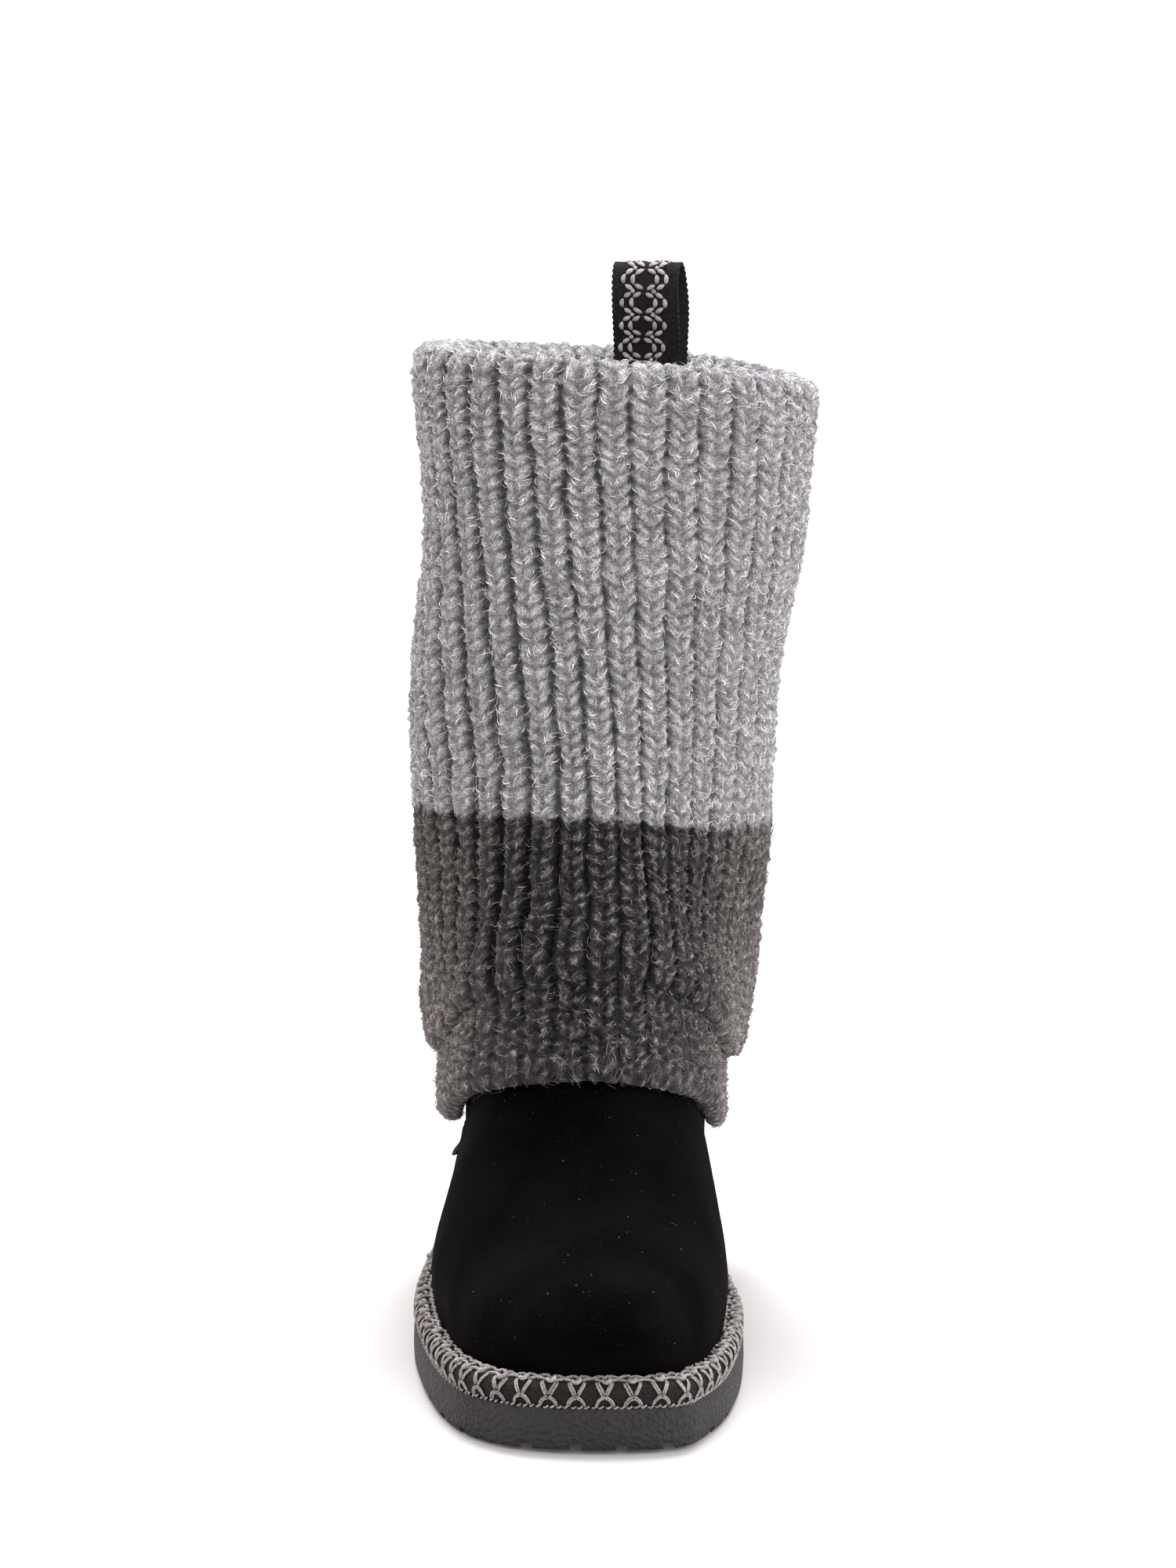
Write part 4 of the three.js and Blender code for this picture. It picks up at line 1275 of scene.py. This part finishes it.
def knit_relief(share, rows):
    """Height above the valley and what the finish needs to know, for each point."""
    counted = rows_below_rim(share, rows)
    in_ribs = np.mod(share, 1) * RIBS
    in_ribs = in_ribs + 0.07 * soft_noise(in_ribs, counted / 2.2, 31, around=RIBS)
    rib = np.mod(np.floor(in_ribs), RIBS)
    across = in_ribs - np.floor(in_ribs) - 0.5
    side = (across > 0).astype(float)
    aside = np.abs(across) * RIB_MM
    below_fold = ease((counted - STITCH_ROWS - 12) / 5)
    soft = 1 - 0.35 * below_fold

    # the plump, brushed legs of a V: three neighbours melt into each other
    best, melted = np.zeros((2, len(share)))
    stitch, along, beside = np.zeros((3, len(share)))
    wander = 0.18 * soft_noise(in_ribs * 2, counted / 1.7, 32, around=2 * RIBS)
    for step in (-1, 0, 1):
        number = np.floor(counted + wander) + step
        random = [stitch_random(rib, number, side, 33 + k) for k in range(4)]
        x = aside - LEG_ASIDE - 0.22 * random[0]
        y = -(counted + wander - number - 0.5) * STITCH_MM + 0.5 * random[1]
        slant = LEG_SLANT + 0.16 * random[2]
        run = x * np.cos(slant) + y * np.sin(slant)
        off = y * np.cos(slant) - x * np.sin(slant)
        full = 1 + 0.1 * random[3]
        leg = np.exp(-1.5 * ((run / (LEG_HALF_LONG * full)) ** 2
                             + (off / (LEG_HALF_WIDE * full)) ** 2))
        melted += (leg * (1 + 0.25 * random[3])) ** 3
        wins = leg > best
        best = np.where(wins, leg, best)
        stitch = np.where(wins, number, stitch)
        along, beside = np.where(wins, run, along), np.where(wins, off, beside)

    # one wide dome under the legs, and between two domes a gap that is deepest where the
    # ribs lean at the lateral front, with purl arcs across it
    leaning = bell(from_back(share), 0.22, 0.12)
    uneven = 0.3 * soft_noise(in_ribs, counted / 1.1, 35, around=RIBS)
    gap = 1 - ease((0.49 - np.abs(across)) / (0.17 + 0.12 * leaning))
    gap = gap * (1 + 0.35 * ease(counted - STITCH_ROWS))
    gap = gap * (0.66 + 0.66 * leaning + uneven)
    arc_y = np.mod(counted + 0.5 + wander, 1) - 0.5
    from_valley = 0.5 - np.abs(across)
    purl = np.maximum(0, 1 - (from_valley / 0.2) ** 2 - (arc_y / 0.40) ** 2) ** 0.6
    clump = soft_noise(in_ribs * 7, counted * 3, 34, around=7 * RIBS)
    fine = soft_noise(in_ribs * 13, counted * 5.5, 39, around=13 * RIBS)
    height = 2.1 - 2.3 * gap * (1 - 0.6 * below_fold) + 0.85 * soft * np.cbrt(melted)
    height = height + 0.7 * soft * purl + (0.7 + 0.6 * below_fold) * clump + 0.5 * fine
    return Relief(counted, rib, side, stitch, best, along, beside, height)


print("a stitch leg is", 2 * LEG_HALF_LONG, "by", 2 * LEG_HALF_WIDE, "mm")

# %% The surface of the knit
def knit_surface(share, rows):
    """Points of the brushed surface, the directions off it and its relief."""
    base, rib_mm = knit_base(share, rows)
    around, upward = 2e-4, 0.02
    out = unit(np.cross(
        knit_base(share + around, rows)[0] - knit_base(share - around, rows)[0],
        knit_base(share, rows + upward)[0] - knit_base(share, rows - upward)[0]))
    relief = knit_relief(share, rows)
    height = relief.height * np.clip(np.abs(rib_mm) / 3.0, 0.22, 1)
    return base + out * height[:, None], out, relief


def knit_place(first_row, last_row):
    """The sheet of one piece of the knit, between two rows of the path."""
    start, end = run_of(first_row), run_of(last_row)

    def place(u, v):
        rows = rows_at(start + v * (end - start))
        placed, out, relief = knit_surface(u, rows)
        in_rib = np.abs(np.mod(u * RIBS, 1) - 0.5)
        dark = ease((relief.counted - STITCH_ROWS - 0.45 + 0.9 * in_rib) / 0.15)
        tone = 0.5 + 0.5 * stitch_random(relief.rib, relief.stitch, relief.side, 38)
        # painted shade: the relief's height, which the wool's colour uses to darken the valleys and
        # lighten the crests
        crest = np.clip(relief.height / 3.3, 0, 1)
        # painted sheen: the sides are lightened more than the front, most of all near the hem,
        # where the fuzz catches glancing light
        around = 0.5 - 0.5 * np.cos(2 * np.pi * even_heading(u, rows))
        brushed = ease((around - 0.03) / 0.25) * (0.4 + 0.6 * ease((140 - placed[:, 2]) / 55))
        brushed = brushed * (1 - 0.55 * ease((around - 0.6) / 0.35))
        brushed = np.maximum(brushed, 0.22 * ease((100 - placed[:, 2]) / 20))
        return placed, (crest, relief.leg, dark, tone, brushed, relief.along, relief.beside,
                        relief.rib * 2 + relief.side)
    return place


KNIT_NOTES = ("crest", "leg", "dark", "tone", "brushed", "along", "beside", "strand")
COLUMNS_PER_RIB = 13
print("relief samples", COLUMNS_PER_RIB, "across a rib")

# %% Brushed wool in two greys
tangle = Group("wool_fuzz", Vector=None)
noise = tangle.noise(tangle.given["Vector"], 1050.0, Detail=4.0, Roughness=0.65, Distortion=1.6)
FUZZ = tangle.put_out(Mask=tangle.spread(noise, (0, 1), (0.38, 0.64)), Height=noise)

wool = Finish("brushed_wool", Roughness=0.95, Sheen_Weight=0.1, Sheen_Roughness=0.3,
              Specular_IOR_Level=0.1)
streaks, fuzz = wool.streaks(4.2), wool.group(FUZZ)
streak, hairs, blotch = streaks["Mask"], fuzz["Mask"], wool.patches(480.0, 0.44, 0.72)
leg, crest, dark = wool.note("leg"), wool.note("crest"), wool.note("dark")


def product(first, *factors):
    for factor in factors:
        first = wool.math("MULTIPLY", first, factor)
    return first


# how far each effect darkens and lightens the light yarn, then the dark one; the rows for the legs
# and for the relief's height are painted shade between the stitch legs and in the valleys, with a
# slight painted highlight on the legs and crests
EFFECTS = (
    (streak, [(0.6, 1.48)], [(0.42, 1.75)]),
    (hairs, [(0.5, 1.5)], [(0.3, 2.05)]),
    (blotch, [(0.9, 1.2)], [(0.55, 2.7)]),
    (leg, [(0.72, 1.08), (0.15, 0.8)], [(0.3, 1.5), (0.15, 0.85)]),
    (crest, [(0.38, 1.1), (0.1, 0.7)], [(0.13, 1.25), (0.15, 0.8)]),
    (wool.note("tone"), [(0.85, 1.15)], [(0.6, 1.4)]),
)
shade = product(*[
    wool.node("Mix", {0: dark, 2: wool.spread(effect, *on_light),
                      3: wool.spread(effect, *on_dark)}).outputs[0]
    for effect, on_light, on_dark in EFFECTS])
yarn = wool.blend(dark, (0.307, 0.2975, 0.312, 1), (0.035, 0.0315, 0.0307, 1))
# painted sheen: on the sides the dark yarn is blended towards a pale fibre colour, as if its fuzz
# caught glancing light; that colour has painted shade between the legs and in the valleys too
sheen_fibre_shade = product(wool.spread(hairs, (0.25, 1.75)), wool.spread(streak, (0.45, 1.55)),
                wool.spread(leg, (0.6, 1.3), (0.15, 0.8)),
                wool.spread(crest, (0.25, 1.35), (0.2, 0.85)))
painted_side_sheen = wool.spread(product(wool.note("brushed"), dark), (0.0, 0.85))
wool.paint(wool.blend(painted_side_sheen, wool.scaled(yarn, shade),
                      wool.scaled((0.178, 0.158, 0.154), sheen_fibre_shade)))
wool.bump(wool.math("ADD", streaks["Height"], fuzz["Height"]), 1.0, 0.0006)
print("the wool's shade comes from", len(EFFECTS), "effects")

# %% The three sheets of the knit
SPLIT_ROW, COLLAR_ROW = 9.9, 12.1  # of the path: below the change of colour, and at mid shaft
for name, first_row, last_row, rows in (("knit_slouch", 0.0, SPLIT_ROW, 134),
                                        ("knit_middle", SPLIT_ROW, COLLAR_ROW, 112),
                                        ("knit_collar", COLLAR_ROW, PATH_END, 126)):
    sheet = wrapped_sheet(name, RIBS * COLUMNS_PER_RIB, rows, knit_place(first_row, last_row),
                          close_seams, notes=KNIT_NOTES)
    finish(sheet, wool, "knit", "knit_shaft", smooth=SMOOTH_ALL)
    print(name, "ends", run_of(last_row).round(0), "mm up the path")

# %% [markdown]
# ## Loose wool
#
# Brushing pulls fibres out of the yarn. Most lie along the stitches, where they catch the
# light as short bright strokes, and a few stand off as a halo round the boot. Places are drawn
# at random from a fixed seed and kept where they fall on a stitch leg, and each fibre follows
# the slant of that leg.

# %% Drawing places for the fibres
def fibre_places(random, count, lowest, highest):
    """Random shares and runs on the stitch legs, with the relief there."""
    share = random.uniform(0, 1, count)
    run = random.uniform(run_of(lowest), run_of(highest), count)
    relief = knit_relief(share, rows_at(run))
    kept = relief.leg > 0.35
    return share[kept], run[kept], Relief(*[value[kept] for value in relief])


def fibre_paths(random, share, run, side, long, spread, lifts, bend, rings):
    """Paths that follow the stitch legs, as points and outward directions."""
    count = len(share)
    way = LEG_SLANT + random.normal(0, spread, count)
    length = long * random.uniform(0.6, 1.3, count)
    bow = bend * random.uniform(-1, 0.3, count)
    part = np.linspace(-0.5, 0.5, rings)
    along = part * length[:, None]
    beside = bow[:, None] * (1 - 4 * part ** 2)
    aside = (along * np.cos(way)[:, None] - beside * np.sin(way)[:, None]) * side[:, None]
    upward = along * np.sin(way)[:, None] + beside * np.cos(way)[:, None]
    shares = share[:, None] + aside / RIB_MM / RIBS
    runs = np.clip(run[:, None] + upward, 0, path_run[-1])
    base, out, _ = knit_surface(shares.ravel(), rows_at(runs.ravel()))
    middle, _, _ = knit_surface(share, rows_at(run))
    base, out = base.reshape(count, rings, 3), out.reshape(count, rings, 3)
    # keep each fibre on the crest, where its middle is
    depth = np.sum((middle[:, None] - base) * out, axis=2)
    lift = lifts(random, count, part)
    return base + out * (np.maximum(depth, 0) * 0.8 + lift)[..., None], out


print("fibres follow legs that slant", round(math.degrees(LEG_SLANT)), "degrees")

# %% Strokes that lie on the stitches, and hairs that stand off
def lying(random, count, part):
    top = random.uniform(0.15, 0.6, count)[:, None]
    return top - (top + 0.25) * (2 * np.abs(part)) ** 2


def standing(random, count, part):
    return random.uniform(0.6, 2.6, count)[:, None] * (part + 0.5) + 0.1


loose_wool = Finish("loose_wool", Roughness=0.8, Specular_IOR_Level=0.2)
tone = loose_wool.note("tone")
light = loose_wool.blend(tone, (0.42, 0.405, 0.42, 1), (1.0, 0.98, 0.99, 1))
dark = loose_wool.blend(tone, (0.05, 0.046, 0.045, 1), (0.36, 0.335, 0.33, 1))
loose_wool.paint(loose_wool.blend(loose_wool.note("dark"), light, dark))


def wool_fibres(name, count, seed, lowest, highest, long, thick, spread, bend, lifts, rings=4):
    random = np.random.default_rng(seed)
    share, run, relief = fibre_places(random, count, lowest, highest)
    side = np.where(relief.side > 0, 1.0, -1.0)
    paths, ups = fibre_paths(random, share, run, side, long, spread, lifts, bend, rings)
    taper = 0.35 + 0.65 * (np.abs(np.linspace(-1, 1, rings)) < 0.9)
    radii = thick * random.uniform(0.6, 1.25, len(share))[:, None] * taper
    tone = random.uniform(0, 1, len(share))[:, None] ** 1.3
    dark = (relief.counted > STITCH_ROWS).astype(float)[:, None]
    fibres = lay_strands(name, paths, ups, radii, sides=3, flat=0.6, tone=tone, dark=dark)
    finish(fibres, loose_wool, "knit", "knit_shaft", smooth=SMOOTH_ALL)


wool_fibres("wool_strokes_high", 11500, 61, 9.5, PATH_END, 2.7, 0.15, 0.4, 0.9, lying)
wool_fibres("wool_strokes_low", 7500, 62, 0.5, 9.5, 1.9, 0.16, 0.5, 0.7, lying)
wool_fibres("wool_halo", 18000, 63, 0.4, PATH_END - 1, 3.6, 0.085, 1.4, 1.1, standing, rings=3)

# %% [markdown]
# ## The pull loop
#
# A black ribbon stands up behind the heel side of the rim, folded into a loop to pull the
# boot on. It is one strip on a path up, over and down again. Its far leg lies a little to the
# side, so its edge shows beside the near one, and both selvedges are scalloped by the weft.

# %% The ribbon
RIBBON_WIDE = 21.8
FAR_LEG_ASIDE = 2.4  # mm that the far leg lies to the side
LOOP_X, LOOP_Y, LOOP_TURN = 20.0, 39.7, math.radians(-10)
# depth from the loop's middle and height (mm)
LOOP_PATH = np.array([
    (-0.9, 293), (-0.9, 302), (-1.0, 311), (-2.2, 317), (-4.2, 324), (-5.3, 330), (-5.2, 336.6),
    (-3.2, 340.9), (0, 342.2), (3.2, 340.9), (5.2, 336.6), (5.3, 330), (4.2, 324), (2.2, 317),
    (1.0, 311), (0.9, 302), (0.9, 293),
])
LOOP_TABLE = padded(LOOP_PATH)
loop_rows = np.linspace(0, len(LOOP_PATH) - 1, 600)
loop_run = run_along(smooth_row(LOOP_TABLE, loop_rows))


def ribbon_points(aside, run, off=0.0):
    """Points of the ribbon: aside from its middle, along it, and off its outer face (mm)."""
    depth, up = curve_off(LOOP_TABLE, np.interp(run, loop_run, loop_rows), off, 0.03)
    x = aside + FAR_LEG_ASIDE * ease((run / loop_run[-1] - 0.42) / 0.3)
    turned = np.column_stack([x * math.cos(LOOP_TURN) - depth * math.sin(LOOP_TURN),
                              x * math.sin(LOOP_TURN) + depth * math.cos(LOOP_TURN), up])
    return turned + (LOOP_X, LOOP_Y, 0)


def ribbon_place(u, v):
    run = v * loop_run[-1]
    aside = (u - 0.5) * RIBBON_WIDE
    selvedge = 0.5 * np.abs(np.sin(np.pi * run / 2.0)) * np.abs(2 * u - 1) ** 12
    return ribbon_points(aside + selvedge * np.sign(u - 0.5), run,
                         0.12 * np.abs(np.sin(np.pi * run / 2.2)) * np.abs(2 * u - 1) ** 8)


ribbon = wrapped_sheet("pull_ribbon", 20, 220, ribbon_place, walled(1.3), turned_outwards)
finish(ribbon, black_cloth, "ribbon", "pull_loop", smooth=math.radians(60))

# %% [markdown]
# ## The ribbon's embroidery
#
# Rings of satin stitches run up the ribbon in two columns that share their inner sides. Each
# stitch is a plump lozenge of thread. One ring is charted flat and repeated along the whole
# ribbon, also over the top and down the back, where the loop shows from behind.

# %% Stitches of one ring
# from x, y to x, y in the ring (mm); each is mirrored to the other side
RING_STITCHES = [
    (7.0, -1.5, 7.0, 1.5), (6.6, 1.8, 4.1, 3.4), (6.6, -1.8, 4.1, -3.4),
    (3.75, -1.6, 3.75, 1.6), (3.4, 1.8, 0.7, 3.3), (3.4, -1.8, 0.7, -3.3),
    (3.2, 3.3, 3.2, 4.5),
]
RING_MM = 7.9
STITCH_RINGS = 6
ring_places = np.arange(4.6, loop_run[-1] - 4, RING_MM)
random = np.random.default_rng(71)
part = np.linspace(0, 1, STITCH_RINGS)
paths, outs = [], []
for middle in ring_places:
    for x0, y0, x1, y1 in RING_STITCHES:
        for side in (-1, 1):
            ends = np.array([(x0, y0), (x1, y1)]) + random.uniform(-0.18, 0.18, (2, 2))
            line = ends[0] + (ends[1] - ends[0]) * part[:, None]
            bulge = 0.35 * np.sin(np.pi * part)
            drift = 0.3 - 1.5 * np.clip((48 - middle) / 23, 0, 1.5)
            aside = side * (line[:, 0] + bulge * (abs(x1 - x0) < 1)) + drift
            off = 0.15 + 0.4 * np.sin(np.pi * part)
            place = ribbon_points(aside, middle + line[:, 1], off)
            paths.append(place)
            outs.append(place - ribbon_points(aside, middle + line[:, 1], off - 0.4))
lozenge = np.array([0.28, 0.62, 0.78, 0.78, 0.62, 0.28])
ribbon_stitches = lay_strands(
    "ribbon_stitches", np.array(paths), np.array(outs), lozenge, sides=8, flat=0.55,
    tone=random.uniform(0, 1, (len(paths), 1)))
satin = yarn_finish("satin_thread", (0.20, 0.185, 0.182, 1), (0.44, 0.41, 0.405, 1))
finish(ribbon_stitches, satin, "ribbon", "pull_loop", smooth=SMOOTH_ALL)

# %% [markdown]
# ## The side label
#
# A small brown leather tab lies flat on the lateral side above the trim. It is bare.

# %% A bare leather tab
LABEL_HEADING, LABEL_SPREAD, LABEL_LOW, LABEL_HIGH = 0.785, 0.036, 47.5, 57.0


def label_place(u, v):
    """The tab lies on the suede; its lower front corner has come a little loose."""
    heading = LABEL_HEADING + LABEL_SPREAD * (u - 0.5)
    height = LABEL_LOW + (LABEL_HIGH - LABEL_LOW) * v
    pillow = 0.25 * (1 - (2 * u - 1) ** 8) * (1 - (2 * v - 1) ** 8)
    peeling = 2.6 * ease((u - 0.55) / 0.45) * ease((0.6 - v) / 0.6)
    lift = suede_lift(shaft_points(heading, height, np.zeros(len(u))))
    return shaft_points(heading, height, lift + 0.9 + pillow + peeling)


leather = Finish("label_leather", Roughness=0.6)
leather.paint(leather.blend(leather.patches(300.0, 0.3, 0.7), (0.020, 0.011, 0.009, 1),
                            (0.034, 0.020, 0.016, 1)))
leather.bump(leather.group(GRAIN, Scale=1300.0, Pebble=0.5)["Height"], 0.4, 0.0004)
label = wrapped_sheet("leather_label", 16, 12, label_place, walled(1.1), turned_outwards)
finish(label, leather, "label", "side_label")

# %% [markdown]
# ## The floor
#
# A plain pale floor carries the boot's soft contact shadow and otherwise melts into the room.

# %% A plain pale floor
bpy.ops.mesh.primitive_plane_add(size=400, location=(0, 0, 0))
floor = bpy.context.object
floor.name = "floor"
paper = Finish("white_paper", Roughness=1.0, Base_Color=(0.43, 0.417, 0.416, 1),
               Specular_IOR_Level=0.0, Emission_Color=(1, 0.985, 0.985, 1),
               Emission_Strength=0.04)
floor.data.materials.append(paper.material)
print("floor:", floor.dimensions.x, "m wide")
